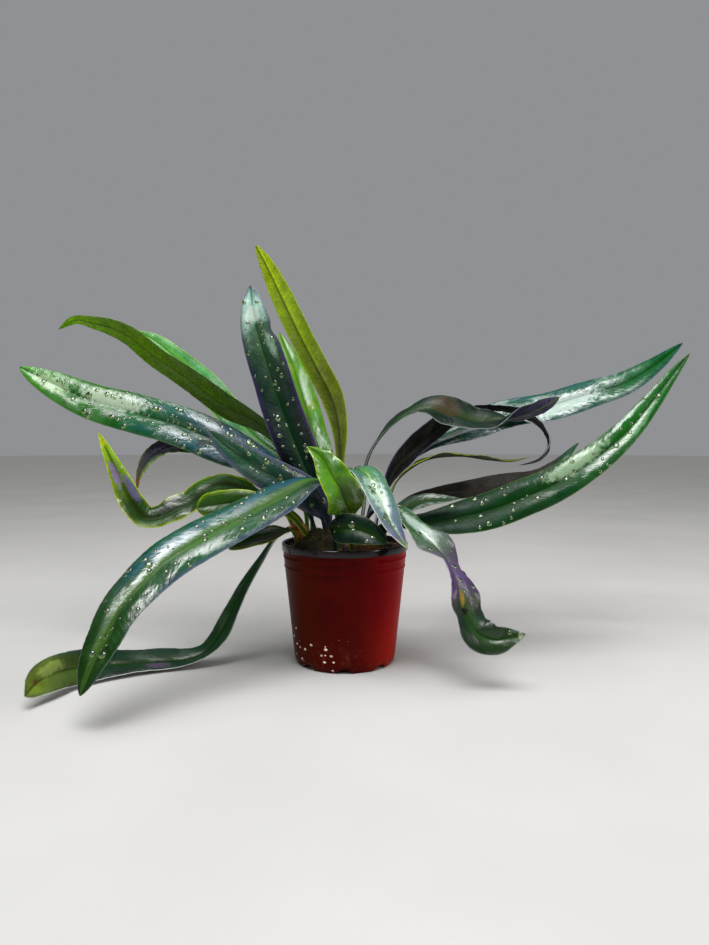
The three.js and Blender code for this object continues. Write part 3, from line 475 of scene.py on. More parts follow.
class PotSizes(bpy.types.PropertyGroup):
    """The thin nursery pot."""

    height: length("Height", "From the floor to the top of the lip", 86, 10)
    lip_radius: length("Lip radius", "Outside of the lip", 45.4, 10)
    wall_top_radius: length("Wall radius at the lip", "Outside of the wall under the lip", 44.4, 10)
    wall_foot_radius: length("Wall radius at the foot", "Outside of the wall above the foot", 36.4, 10)
    foot_radius: length("Foot radius", "Outside of the ring that it stands on", 34.2, 10)
    wall: length("Wall", "Thickness of the plastic", 1.1, 0.2)
    lip_height: length("Lip height", "Height of the thicker band at the top", 5.2, 1)
    base_rise: length("Base rise", "How far the base lies above the floor", 4)
    notch_width: length("Notch width", "Width of each drain notch in the foot", 10, 1)
    notch_height: length("Notch height", "Height of each drain notch", 3.2)
    notches: IntProperty(
        name="Notches", description="Drain notches and holes round the foot", default=8, min=1, max=16,
    )
    sides: IntProperty(name="Sides", description="Faces round the pot", default=240, min=24, max=400)
    red: FloatVectorProperty(
        name="Red", description="Colour of the outer plastic", subtype="COLOR", size=3,
        min=0, max=1, default=(0.17, 0.002, 0.003),
    )


class SoilSizes(bpy.types.PropertyGroup):
    """The potting bark and what lies on it."""

    level: length("Level", "Height of the soil above the floor", SOIL_LEVEL, 10)
    relief: length("Relief", "How lumpy the surface is", 1.3)
    chip_density: FloatProperty(
        name="Bark chips", description="Chips on a square metre", default=90000, min=0,
    )
    fibre_density: FloatProperty(
        name="Fibres", description="Coir fibres on a square metre", default=42000, min=0,
    )
    seed: IntProperty(name="Seed", description="Seed of the scattered pieces", default=7, min=0)


class BladeSizes(bpy.types.PropertyGroup):
    """What all blades share."""

    thickness: length("Thickness", "Thickness of the leaf away from the midrib", 0.6, 0.1)
    rib_height: length("Keel", "How far the midrib stands out below", 0.8)
    groove: length("Groove", "How deep the midrib is sunk above", 0.4)
    row_length: length("Row length", "Distance between rows of points along a blade", 1.2, 0.5)
    pucker: length("Pucker", "Height of the soft swellings on a blade", 0.35)
    pucker_size: length("Pucker size", "Length of the soft swellings", 11, 1)
    vein_spacing: length("Vein spacing", "Distance between side veins", 4.2, 0.5)


class StageSizes(bpy.types.PropertyGroup):
    """The floor, the lights and the camera."""

    floor_radius: length("Floor radius", "Radius of the round floor", 6000, 500)
    eye: FloatVectorProperty(
        name="Eye", description="Where the camera stands", subtype="TRANSLATION", size=3,
        default=(0.007, -0.520, 0.162), unit="LENGTH",
    )
    pitch: FloatProperty(
        name="Pitch", description="How far the camera looks down",
        default=math.radians(2.9), subtype="ANGLE",
    )
    lens: FloatProperty(name="Lens", description="Focal length in millimetres", default=27.58, min=5)
    brightness: FloatProperty(
        name="Brightness", description="Strength of the pale surroundings", default=0.22, min=0,
    )


def linear(code):
    """A colour such as "3a5f20" as linear red, green, blue and alpha."""
    values = [int(code[i:i + 2], 16) / 255 for i in (0, 2, 4)]
    return tuple(v / 12.92 if v <= 0.04045 else ((v + 0.055) / 1.055) ** 2.4 for v in values) + (1.0,)


class Value:
    """One output of a node. Each sign of arithmetic adds a Math node to its tree."""

    def __init__(self, socket):
        self.socket = socket
        self.tree = socket.id_data

    def __add__(self, other):
        return calc("ADD", self, other)

    def __sub__(self, other):
        return calc("SUBTRACT", self, other)

    def __rsub__(self, other):
        return calc("SUBTRACT", other, self)

    def __mul__(self, other):
        return calc("MULTIPLY", self, other)

    def __truediv__(self, other):
        return calc("DIVIDE", self, other)

    def __rtruediv__(self, other):
        return calc("DIVIDE", other, self)

    def __pow__(self, other):
        return calc("POWER", self, other)

    def __abs__(self):
        return calc("ABSOLUTE", self)


class Outputs:
    """The outputs of a node, by name or number."""

    def __init__(self, node):
        self.node = node

    def __getitem__(self, key):
        return Value(self.node.outputs[key])


def feed(node, values):
    """Sets a node's inputs, which are named or numbered, or links them to other nodes' outputs."""
    for key, value in values.items():
        if isinstance(value, Value):
            value.tree.links.new(value.socket, node.inputs[key])
        else:
            node.inputs[key].default_value = value


def add_node(tree, kind, values=None, **settings):
    """Adds a node, sets it up and feeds it, and gives its outputs."""
    node = tree.nodes.new(kind)
    for key, value in settings.items():
        setattr(node, key, value)
    feed(node, values or {})
    return Outputs(node)


def calc(operation, *values):
    """A Math node's result, in the tree of the first value that comes from a node."""
    tree = next(value.tree for value in values if isinstance(value, Value))
    return add_node(tree, "ShaderNodeMath", dict(enumerate(values)), operation=operation)[0]


def vector_calc(operation, first, second):
    """A Vector Math node's result."""
    return add_node(first.tree, "ShaderNodeVectorMath", {0: first, 1: second}, operation=operation)[0]


def stretched(vector, factor):
    """A vector made longer by a factor."""
    values = {0: vector, "Scale": factor}
    return add_node(vector.tree, "ShaderNodeVectorMath", values, operation="SCALE")[0]


def separate(vector):
    return add_node(vector.tree, "ShaderNodeSeparateXYZ", {0: vector})


def combined(*parts):
    return add_node(parts[0].tree, "ShaderNodeCombineXYZ", dict(enumerate(parts)))[0]


def ramped(value, low, high):
    """0 where value is at low, 1 where it is at high, and smooth between them; low may be the larger."""
    at_least, at_most = (1.0, 0.0) if low > high else (0.0, 1.0)
    return add_node(
        value.tree, "ShaderNodeMapRange",
        {"Value": value, "From Min": min(low, high), "From Max": max(low, high),
         "To Min": at_least, "To Max": at_most},
        interpolation_type="SMOOTHSTEP",
    )[0]


def blended(factor, first, second):
    """A Mix node's colour: first at factor 0, second at 1."""
    return add_node(factor.tree, "ShaderNodeMix", {0: factor, 6: first, 7: second}, data_type="RGBA")[2]


def darkened(colour, by, **settings):
    """A colour multiplied by another colour or by a value."""
    return add_node(
        colour.tree, "ShaderNodeMix", {0: 1.0, 6: colour, 7: by},
        data_type="RGBA", blend_type="MULTIPLY", **settings,
    )[2]


def attribute(tree, name, output="Fac"):
    return add_node(tree, "ShaderNodeAttribute", attribute_name=name)[output]


def noise_value(vector, scale, detail=3.0, roughness=0.5):
    return add_node(
        vector.tree, "ShaderNodeTexNoise",
        {"Vector": vector, "Scale": scale, "Detail": detail, "Roughness": roughness},
    )[0]


def scaled(vector, scale):
    """A vector scaled by three factors."""
    return add_node(
        vector.tree, "ShaderNodeMapping", {"Vector": vector, "Scale": scale}, vector_type="POINT",
    )[0]


def socket_kind(default):
    """The kind of a group's input: a default that is text names the kind of an input without one."""
    if isinstance(default, str):
        return default
    if isinstance(default, tuple):
        return "Color"
    return "Int" if isinstance(default, int) else "Float"


def node_group(name, kind, inputs, outputs):
    """Turns a function that fills a node group into one that finds the group, or makes it at first."""
    def decorated(fill):
        def find():
            group = bpy.data.node_groups.get(name)
            if group:
                return group
            group = bpy.data.node_groups.new(name, kind)
            for title, default in inputs.items():
                socket = group.interface.new_socket(
                    name=title, in_out="INPUT", socket_type="NodeSocket" + socket_kind(default),
                )
                if not isinstance(default, str):
                    socket.default_value = default
            for title, output_kind in outputs.items():
                group.interface.new_socket(
                    name=title, in_out="OUTPUT", socket_type="NodeSocket" + output_kind,
                )
            given = Outputs(group.nodes.new("NodeGroupInput"))
            feed(group.nodes.new("NodeGroupOutput"), fill(group, given))
            return group
        return find
    return decorated


@node_group(
    "leaf veins", "ShaderNodeTree", {"Surface": "Vector", "Spacing": 0.0042, "Slant": 0.7, "Net": 520.0},
    {"Veins": "Float", "Net": "Float"},
)
def vein_group(tree, given):
    """Side veins that slant off the midrib, and the fine net between them, as masks."""
    surface = given["Surface"]
    side, along, _ = separate(surface)
    place = along - abs(side) * given["Slant"] + noise_value(surface, 140.0) * 0.004
    turn = calc("FRACT", place / given["Spacing"])
    cells = add_node(
        tree, "ShaderNodeTexVoronoi", {"Vector": surface, "Scale": given["Net"]},
        feature="DISTANCE_TO_EDGE",
    )
    return {"Veins": ramped(abs(turn - 0.5), 0.1, 0.0), "Net": ramped(cells["Distance"], 0.12, 0.0)}


@node_group(
    "blade zones", "ShaderNodeTree",
    {"Surface": "Vector", "Across": 0.0, "Rib Gap": 0.0, "Edge Gap": 0.0},
    {"Rib": "Float", "Heart": "Float", "Band": "Float", "Margin": "Float", "Edge": "Float"},
)
def zone_group(tree, given):
    """Where the midrib, its zone, the blue band, the flushed margin and the thin edge lie."""
    surface, edge_gap = given["Surface"], given["Edge Gap"]
    streaks = noise_value(scaled(surface, (420, 26, 1)), 1.0, 4.0, 0.6)
    clouds = noise_value(scaled(surface, (90, 34, 1)), 1.0, 2.0) - 0.5
    shifted = abs(given["Across"]) + clouds * 0.7
    return {
        "Rib": ramped(given["Rib Gap"], 0.001, 0.0003),
        "Heart": ramped(shifted, 0.42, 0.1),
        "Band": ramped(shifted, 0.14, 0.42) * ramped(shifted, 0.98, 0.62) * ramped(streaks, 0.3, 0.62),
        "Margin": ramped(edge_gap + clouds * 0.003, 0.0034, 0.0002),
        "Edge": ramped(edge_gap, 0.0006, 0.0001),
    }


@node_group(
    "blade spot", "ShaderNodeTree",
    {"Surface": "Vector", "Along": 0.0, "Across": 0.0, "Centre Along": 0.5, "Centre Across": 0.0,
     "Length": 0.05, "Width": 0.3},
    {"Mask": "Float"},
)
def spot_group(tree, given):
    """One ragged patch at a place on a blade, as a mask."""
    reach = (given["Along"] - given["Centre Along"]) / given["Length"]
    side = (given["Across"] - given["Centre Across"]) / given["Width"]
    ragged = noise_value(given["Surface"], 320.0, 4.0) - 0.5
    distance = calc("SQRT", reach * reach + side * side) + ragged * 1.1
    return {"Mask": ramped(distance, 1.1, 0.6)}


@node_group(
    "mottle", "ShaderNodeTree",
    {"Surface": "Vector", "Colour": (0.5, 0.5, 0.5, 1), "Amount": 0.5, "Scale": 80.0},
    {"Colour": "Color", "Cloud": "Float"},
)
def mottle_group(tree, given):
    """A colour with cloudy lighter and darker places."""
    cloud = noise_value(given["Surface"], given["Scale"], 5.0, 0.6)
    factor = (cloud - 0.5) * given["Amount"] * 3.0 + 1.0
    return {"Colour": darkened(given["Colour"], factor, clamp_result=True), "Cloud": cloud}


def use_group(tree, group, values):
    return add_node(tree, "ShaderNodeGroup", values, node_tree=group)


def new_material(name, **values):
    """A material with one Principled shader, whose constant values are set on its own sockets."""
    material = bpy.data.materials.new(name)
    material.use_nodes = True
    tree = material.node_tree
    shader = tree.nodes["Principled BSDF"]
    feed(shader, {key.replace("_", " "): value for key, value in values.items()})
    return material, tree, shader


def bump(shader, height, distance, strength, normal="Normal"):
    node = add_node(
        height.tree, "ShaderNodeBump", {"Height": height, "Distance": distance, "Strength": strength},
    )
    feed(shader, {normal: node["Normal"]})


def colour_ramp(value, stops):
    ramp = add_node(value.tree, "ShaderNodeValToRGB", {"Fac": value})
    elements = ramp.node.color_ramp.elements
    for element, (place, code) in zip(elements, (stops[0], stops[-1])):
        element.position, element.color = place, linear(code)
    for place, code in stops[1:-1]:
        elements.new(place).color = linear(code)
    return ramp["Color"]


def value_ramp(place, stops):
    """A value that follows stops along a place from 0 to 1."""
    curve = add_node(place.tree, "ShaderNodeFloatCurve", {"Factor": 1.0, "Value": place})
    mapping = curve.node.mapping
    points = mapping.curves[0].points
    points[0].location, points[1].location = stops[0], stops[-1]
    for stop in stops[1:-1]:
        points.new(*stop)
    for point in points:
        point.handle_type = "VECTOR"
    mapping.update()
    return curve["Value"]


def toned(mask, colour, look):
    """A colour overlaid with a look's own colour, by a mask and the look's strength."""
    code, strength = look
    return blended(mask * strength, colour, linear(code))


# How far the streaks of the glossy film slant off the midrib, and over what share of a blade's
# length the band and the margin fade out.
FILM_SLANT = 1.8
FADE = 0.15


def blade_material(name, look, spacing):
    """The two faces of one frond, from its look."""
    material, tree, shader = new_material(
        f"blade {name}", Coat_Roughness=0.24, Coat_IOR=1.8, Specular_IOR_Level=0.1,
    )
    surface = attribute(tree, "surface", "Vector")
    across, along, under = (attribute(tree, title) for title in ("across", "along", "under"))
    zones = use_group(tree, zone_group(), {
        "Surface": surface, "Across": across,
        "Rib Gap": attribute(tree, "rib_gap"), "Edge Gap": attribute(tree, "edge_gap"),
    })
    veins = use_group(tree, vein_group(), {"Surface": surface, "Spacing": spacing})
    place = along + (noise_value(surface, 45.0) - 0.5) * 0.16

    def mottled(stops, amount, scale):
        return use_group(tree, mottle_group(), {
            "Surface": surface, "Colour": colour_ramp(place, stops), "Amount": amount, "Scale": scale,
        })

    first, last = look["reach"]
    reach = ramped(place, first, first + FADE) * ramped(place, last, last - FADE)
    band, margin = zones["Band"] * reach, zones["Margin"] * reach
    if look["lean"]:
        leaning = across * look["lean"]
        band = band * ramped(leaning, -0.15, 0.1)
        margin = margin * ramped(leaning, 0.1, -0.15)
    top = mottled(look["top"], 0.55, 95.0)
    top_colour = top["Colour"]
    masks = {"heart": zones["Heart"], "band": band, "margin": margin, "rib": zones["Rib"]}
    for zone, mask in masks.items():
        top_colour = toned(mask, top_colour, look[zone])

    low_colour = mottled(look["under"], 0.5, 130.0)["Colour"]
    netted = calc("MAXIMUM", veins["Net"] * 0.16, veins["Veins"] * 0.35)
    low_colour = blended(netted, low_colour, darkened(low_colour, (0.45, 0.45, 0.42, 1)))
    low_colour = toned(zones["Margin"] * 0.6, low_colour, look["margin"])
    low_colour = toned(zones["Rib"], low_colour, look["keel"])

    # Patches: real marks and, on some fronds, painted sheen in pale whitish green.
    for centre_along, centre_across, length, width, code, strength, face in look["spots"]:
        mask = use_group(tree, spot_group(), {
            "Surface": surface, "Along": along, "Across": across, "Centre Along": centre_along,
            "Centre Across": centre_across, "Length": length, "Width": width,
        })["Mask"]
        if face:
            low_colour = toned(mask, low_colour, (code, strength))
        else:
            top_colour = toned(mask, top_colour, (code, strength))

    side, forward, _ = separate(surface)
    slanted = combined(side * 90.0, (forward - abs(side) * FILM_SLANT) * 330.0)
    streaks = (noise_value(slanted, 1.3, 5.0, 0.7) - 0.5) * 0.5
    patches = noise_value(scaled(surface, (120, 34, 1)), 1.0, 5.0, 0.6) + streaks
    film = ramped(patches, 0.43, 0.57) * (1.0 - zones["Rib"]) * value_ramp(place, look["film"])
    rough = (top["Cloud"] - 0.5) * 0.6 + look["gloss"] + under * 0.14
    # The thin rim's pale tone is partly its own and partly a painted highlight.
    feed(shader, {
        "Base Color": toned(zones["Edge"], blended(under, top_colour, low_colour), look["edge"]),
        "Roughness": calc("MAXIMUM", rough, 0.1),
        "Coat Weight": film * (1.0 - under * 0.6),
    })
    grain = noise_value(surface, 1100.0, 3.0, 0.6)
    height = veins["Veins"] * (under * 1.3 - 0.3) + grain + veins["Net"] * (under * 0.4)
    bump(shader, height, 0.00025, 0.9)
    bump(shader, height, 0.0002, 0.45, "Coat Normal")
    return material


def simple_surface(tree):
    """Object coordinates, which the plain materials read."""
    return add_node(tree, "ShaderNodeTexCoord")["Object"]


def red_plastic(colour):
    """The outer pot in streaked deep red with a little dust, with painted light on its flanks and
    foot and painted shade on its front middle and its left.
    """
    material, tree, shader = new_material("red pot plastic", Specular_IOR_Level=0.03)
    surface = simple_surface(tree)
    x, y, z = separate(surface)
    streaks = noise_value(scaled(surface, (70, 70, 9)), 1.0, 4.0, 0.6)
    clouds = noise_value(surface, 34.0, 4.0, 0.6)
    dust = noise_value(surface, 260.0, 6.0, 0.7)
    scuffs = noise_value(scaled(surface, (300, 300, 1500)), 1.0, 2.0)
    red, green, blue = colour
    deep, plain, bright = (tuple(c * share for c in colour) + (1,) for share in (0.45, 1, 1.5))
    warm = (min(red * 1.5, 1), green * 6, blue * 1.1, 1)
    tint = blended(ramped(streaks, 0.36, 0.66), deep, plain)
    for mask, tone in (
        (ramped(clouds, 0.5, 0.75) * 0.5, warm),
        # Painted light: lighter red towards both flanks.
        (ramped(abs(x + 0.004), 0.012, 0.036) * 0.9, bright),
        # Painted light: warmer and lighter towards the foot.
        (ramped(z, 0.05, 0.006) * 0.6, warm),
        # Painted shade: darker in the front middle, under the fronds.
        (ramped(x, 0.033, 0.006) * (ramped(y, 0.02, -0.01) * 0.8), (red * 0.14, 0.001, 0.001, 1)),
        # Painted shade: darker and browner on the left.
        (ramped(x, -0.008, -0.03) * 0.8, (red * 0.36, 0.0065, 0.0005, 1)),
        (ramped(dust, 0.5, 0.72) * (ramped(z, 0.03, 0.004) * 0.45), linear("6a3a2c")),
        (ramped(scuffs, 0.68, 0.8) * 0.15, linear("8a2420")),
    ):
        tint = blended(mask, tint, tone)
    feed(shader, {"Base Color": tint, "Roughness": dust * 0.25 + clouds * 0.25 + 0.12})
    bump(shader, streaks * 0.6 + dust, 0.0002, 0.35)
    return material


def grained(name, size, noise_shape, spread, tones, own=None, rough=None, relief=None, **values):
    """A surface whose grain runs between two tones.

    size is the grain's fineness along the three axes, and noise_shape its detail and roughness.
    own gives the range over which a chip's own number turns it to the third tone, rough the range
    that the grain turns into roughness, and relief the bump's distance and strength.
    """
    material, tree, shader = new_material(name, **values)
    grain = noise_value(scaled(simple_surface(tree), size), 1.0, *noise_shape)
    dark, light, third = [linear(code) for code in tones] + [None] * (3 - len(tones))
    tint = blended(ramped(grain, *spread), dark, light)
    if own:
        tint = blended(ramped(attribute(tree, "own_tint"), *own), tint, third)
    feed(shader, {"Base Color": tint})
    if rough:
        feed(shader, {"Roughness": ramped(grain, *rough)})
    if relief:
        bump(shader, grain, *relief)
    return material


def black_plastic():
    """The lip and the inside of the pot."""
    return grained(
        "black pot plastic", (160, 160, 420), (5.0, 0.65), (0.55, 0.75), ("120c0d", "3a2526"),
        rough=(0.2, 1.4), relief=(0.0003, 0.5), Specular_IOR_Level=0.3,
    )


def bark_material(name, *tones):
    """Damp bark or fibre: dark, light and the tone of a few single chips."""
    return grained(
        name, (500, 900, 700), (6.0, 0.7), (0.35, 0.7), tones,
        own=(0.72, 1.0), rough=(-0.9, 1.3), relief=(0.0006, 0.9),
    )


def moss_material():
    return grained("moss", (500, 500, 500), (3.0, 0.5), (0.35, 0.65), ("2c3f12", "6f8a2a"), Roughness=0.7)


def mineral_material():
    return grained(
        "mineral crust", (900, 900, 900), (4.0, 0.5), (0.35, 0.65), ("b08a7c", "f0dcd2"), Roughness=0.75,
    )


def rhizome_material(name, *tones):
    """Brown skin or papery scales: dark, light and the tone that single scales turn to."""
    return grained(
        name, (300, 900, 900), (5.0, 0.65), (0.35, 0.7), tones,
        own=(0.2, 1.2), rough=(-0.6, 1.4), relief=(0.0004, 0.8),
    )


def water_material():
    """Water with painted light: a yellow-green glow painted low in each bead, where the light would
    gather, over a dark foot.
    """
    material, tree, shader = new_material(
        "water bead", Roughness=0.04, IOR=1.33, Transmission_Weight=0.55,
        Coat_Weight=1.0, Coat_Roughness=0.03,
    )
    place = separate(simple_surface(tree))[2]
    middle = separate(attribute(tree, "middle", "Vector"))[2]
    rise = (place - middle) / attribute(tree, "reach")
    # Painted light: dark at the top of each bead, glowing yellow-green low in it.
    tint = blended(ramped(rise, 0.35, -0.6), linear("1c3814"), linear("8ca468"))
    feed(shader, {"Base Color": blended(attribute(tree, "foot"), tint, linear("0c1c08"))})
    return material


def floor_material():
    material = grained("pale floor", (6, 6, 6), (4.0, 0.5), (0.3, 0.7), ("a4a3a1", "a9a8a6"))
    tree = material.node_tree
    rough = ramped(noise_value(simple_surface(tree), 40.0), -1.5, 1.2)
    feed(tree.nodes["Principled BSDF"], {"Roughness": rough})
    return material


def centripetal(points, shares):
    """Points on a centripetal Catmull-Rom curve, at shares of its parameter from 0 to 1."""
    points = np.asarray(points, float)
    spans = len(points) - 1
    padded = np.vstack([2 * points[0] - points[1], points, 2 * points[-1] - points[-2]])
    place = np.clip(shares, 0, 1) * spans
    low = np.minimum(place.astype(int), spans - 1)
    t = (place - low)[:, None]
    before, start, end, after = (padded[low + i] for i in range(4))
    gap_0 = np.sqrt(np.linalg.norm(start - before, axis=1))[:, None]
    gap_1 = np.sqrt(np.linalg.norm(end - start, axis=1))[:, None]
    gap_2 = np.sqrt(np.linalg.norm(after - end, axis=1))[:, None]
    leave = (start - before) / gap_0 - (end - before) / (gap_0 + gap_1) + (end - start) / gap_1
    arrive = (end - start) / gap_1 - (after - start) / (gap_1 + gap_2) + (after - end) / gap_2
    leave, arrive = leave * gap_1, arrive * gap_1
    square = -3 * start + 3 * end - 2 * leave - arrive
    cube = 2 * start - 2 * end + leave + arrive
    return start + leave * t + square * t**2 + cube * t**3


def along_curve(points, shares):
    """Centres and directions at even shares of the length, and the length."""
    parameter = np.linspace(0, 1, 401)
    steps = np.linalg.norm(np.diff(centripetal(points, parameter), axis=0), axis=1)
    travelled = np.concatenate([[0], np.cumsum(steps)])
    t = np.interp(shares * travelled[-1], travelled, parameter)
    nudge = 1e-4
    ahead = centripetal(points, np.minimum(t + nudge, 1)) - centripetal(points, np.maximum(t - nudge, 0))
    return centripetal(points, t), unit(ahead), travelled[-1]


def unit(vectors):
    return vectors / np.linalg.norm(vectors, axis=-1, keepdims=True)


def smooth_step(low, high, value):
    share = np.clip((value - low) / (high - low), 0, 1)
    return share * share * (3 - 2 * share)


def facing(face, shares):
    """The upper side's direction between the stations of a frond's face list."""
    stations = unit(np.asarray(face, float))
    place = shares * (len(stations) - 1)
    low = np.minimum(place.astype(int), len(stations) - 2)
    blend = smooth_step(0, 1, place - low)[:, None]
    return stations[low] * (1 - blend) + stations[low + 1] * blend


def make_mesh(name, points, faces, attributes=()):
    """A mesh from points in metres, with named values or vectors on its points."""
    mesh = bpy.data.meshes.new(name)
    mesh.from_pydata([tuple(p) for p in points], [], faces)
    mesh.update()
    for title, values in attributes:
        values = np.asarray(values, np.float32)
        if values.ndim == 1:
            mesh.attributes.new(title, "FLOAT", "POINT").data.foreach_set("value", values)
        else:
            mesh.attributes.new(title, "FLOAT_VECTOR", "POINT").data.foreach_set("vector", values.ravel())
    mesh.shade_smooth()
    return mesh


def ring_faces(first, sides):
    """The quads between a ring of points and the ring after it."""
    return [
        (first + k, first + (k + 1) % sides, first + sides + (k + 1) % sides, first + sides + k)
        for k in range(sides)
    ]


def dome_faces(sides, rings):
    """A fan round the top point, and the quads between the rings under it, looking outwards."""
    faces = [(0, 1 + k, 1 + (k + 1) % sides) for k in range(sides)]
    for first in range(1, 1 + (rings - 1) * sides, sides):
        faces += [
            (first + k, first + sides + k, first + sides + (k + 1) % sides, first + (k + 1) % sides)
            for k in range(sides)
        ]
    return faces


def circle(radius, sides):
    """Points round a circle, as x and y."""
    angles = [2 * math.pi * k / sides for k in range(sides)]
    return [(radius * math.cos(angle), radius * math.sin(angle)) for angle in angles]


# The points across half a blade, from the midrib to the margin, and what shapes every section: how
# rows crowd towards the tip, how soft the fold at the midrib is, how far the halves swell, and how
# wide the groove and the keel are in millimetres.
REACH = np.array([0, 0.03, 0.07, 0.13, 0.22, 0.33, 0.45, 0.57, 0.68, 0.78, 0.87, 0.94, 0.98, 1])
CROWDING = 1.12
FOLD_SOFTNESS = 0.004
DOME = 0.06
GROOVE_WIDTH = 0.9
KEEL_WIDTH = 0.95


def blade_mesh(frond, order, sizes):
    """One frond as a closed skin: a ring of points round the blade at every row."""
    x, y = frond["foot"]
    start = SOIL_LEVEL - STALK_DEPTH
    path = [(x, y, start), (x, y, SOIL_LEVEL - 1), (x, y, SOIL_LEVEL + STALK_RISE), *frond["rib"]]
    length = along_curve(path, np.array([0.0]))[2]
    rows = int(length / (sizes.row_length / MM)) + 6
    shares = 1 - (1 - np.linspace(0, 1, rows)) ** CROWDING
    centre, along, length = along_curve(path, shares)
    up = facing(frond["face"], shares)
    up = unit(up - along * np.sum(up * along, axis=1, keepdims=True))
    side = np.cross(along, up)

    leaf = smooth_step(frond["neck"], frond["full"], shares)
    past = np.maximum((shares - frond["full"]) / (1 - frond["full"]), 0)
    taper = np.maximum(1 - past ** frond["taper"], 0) ** 0.75
    half = np.maximum((STALK_RADIUS + (frond["half"] - STALK_RADIUS) * leaf) * taper, TIP_HALF_WIDTH)

    across = np.concatenate([-REACH[:0:-1], REACH])
    count = len(across)
    away = np.abs(across)
    soft = np.sqrt(away**2 + FOLD_SOFTNESS) - math.sqrt(FOLD_SOFTNESS)
    ripple = np.sin(2 * np.pi * (frond["waves"] * shares[:, None] + 0.3 * across))
    dome = DOME * 4 * away * (1 - away)
    lift = (half * leaf)[:, None] * (
        frond["fold"] * soft - frond["arch"] * away**2 + dome + frond["wave"] * away**2 * ripple
    )
    margin = np.ones((rows, count))
    if "bite" in frond:
        bite_side, at, bite_length, depth = frond["bite"]
        notch = depth * np.exp(-(((shares - at) / bite_length) ** 2))
        margin[:, across * bite_side > 0] -= notch[:, None]

    rib_gap = away * half[:, None]
    stem = STALK_THICKNESS * np.sqrt(np.maximum(1 - away**2, 0.01))
    blade_thickness = sizes.thickness / MM * (1 - 0.45 * away**6)
    flat = smooth_step(0, 0.5, leaf)[:, None]
    thickness = stem + (blade_thickness - stem) * flat
    thickness = thickness * np.minimum(half / 1.5, 1)[:, None]
    slim = (1 - 0.65 * shares)[:, None] * np.minimum(half / 4, 1)[:, None]
    groove = sizes.groove / MM * np.exp(-((rib_gap / GROOVE_WIDTH) ** 2)) * flat * slim
    keel = sizes.rib_height / MM * np.exp(-((rib_gap / KEEL_WIDTH) ** 2)) * flat * slim

    def spread(offset):
        flank = side[:, None] * (half[:, None] * across * margin)[..., None]
        return centre[:, None] + flank + up[:, None] * offset[..., None]

    upper = spread(lift + thickness / 2 - groove)
    lower = spread(lift - thickness / 2 - keel)
    rims = []
    for column, sign in ((-1, 1), (0, -1)):
        rim = (upper[:, column] + lower[:, column]) / 2
        rims.append(rim + side * (sign * 0.5 * thickness[:, column])[:, None])
    ring = np.concatenate([upper, rims[0][:, None], lower[:, ::-1], rims[1][:, None]], axis=1)
    around = ring.shape[1]

    faces = [face for row in range(rows - 1) for face in ring_faces(row * around, around)]
    for row, forward in ((0, False), (rows - 1, True)):
        first = row * around
        strips = [(first + 2 * count + 1, first + 2 * count, first)]
        strips += [
            (first + j, first + 2 * count - j, first + 2 * count - j - 1, first + j + 1)
            for j in range(count - 1)
        ]
        strips.append((first + count - 1, first + count + 1, first + count))
        faces += [strip[::-1] for strip in strips] if forward else strips

    ring_across = np.concatenate([across, [1], across[::-1], [-1]])
    ring_under = np.concatenate([np.zeros(count), [0.5], np.ones(count), [0.5]])
    grid = np.ones((rows, around))
    ring_half = half[:, None] * grid
    surface = np.stack([
        ring_across * ring_half * MM, (shares * length * MM)[:, None] * grid,
        LANE * order + 0.11 * np.round(ring_under) * grid,
    ], axis=-1)
    swell = (leaf * np.minimum(half / 6, 1))[:, None] * grid
    wet = (ring_under == 0) * (np.abs(ring_across) < 0.9) * swell
    attributes = (
        ("across", (ring_across * grid).ravel()), ("along", (shares[:, None] * grid).ravel()),
        ("under", (ring_under * grid).ravel()), ("surface", surface.reshape(-1, 3)),
        ("rib_gap", (np.abs(ring_across) * ring_half * MM).ravel()),
        ("edge_gap", ((1 - np.abs(ring_across)) * ring_half * MM).ravel()),
        ("up", np.repeat(up[:, None], around, axis=1).reshape(-1, 3)),
        ("swell", swell.ravel()), ("wet", wet.ravel()),
    )
    return make_mesh(frond["name"], ring.reshape(-1, 3) * MM, faces, attributes)


def link_object(name, mesh):
    piece = bpy.data.objects.new(name, mesh)
    bpy.context.scene.collection.objects.link(piece)
    return piece


def evaluated(carrier):
    """The plain mesh that a carrier's modifier makes. The carrier is removed."""
    graph = bpy.context.evaluated_depsgraph_get()
    made = bpy.data.meshes.new_from_object(
        carrier.evaluated_get(graph), preserve_all_data_layers=True, depsgraph=graph,
    )
    bpy.data.objects.remove(carrier)
    if not made.polygons:
        raise RuntimeError("a modifier left no faces")
    return made


def run_tree(mesh, tree, values):
    """The plain mesh that a Geometry Nodes tree makes of a mesh, with inputs given by name."""
    carrier = link_object("carrier", mesh)
    modifier = carrier.modifiers.new("form", "NODES")
    modifier.node_group = tree
    sockets = {
        item.name: item.identifier for item in tree.interface.items_tree
        if item.item_type == "SOCKET" and item.in_out == "INPUT"
    }
    for title, value in values.items():
        modifier[sockets[title]] = value
    return evaluated(carrier)


def finished(name, mesh, slot=None, replaced=()):
    """A finished piece at the origin, riding on the one body."""
    piece = link_object(name, mesh)
    if replaced:
        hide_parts(*replaced)
    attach(piece, ROOT)
    return piece


def named_value(tree, name, kind="FLOAT"):
    return add_node(tree, "GeometryNodeInputNamedAttribute", {"Name": name}, data_type=kind)["Attribute"]


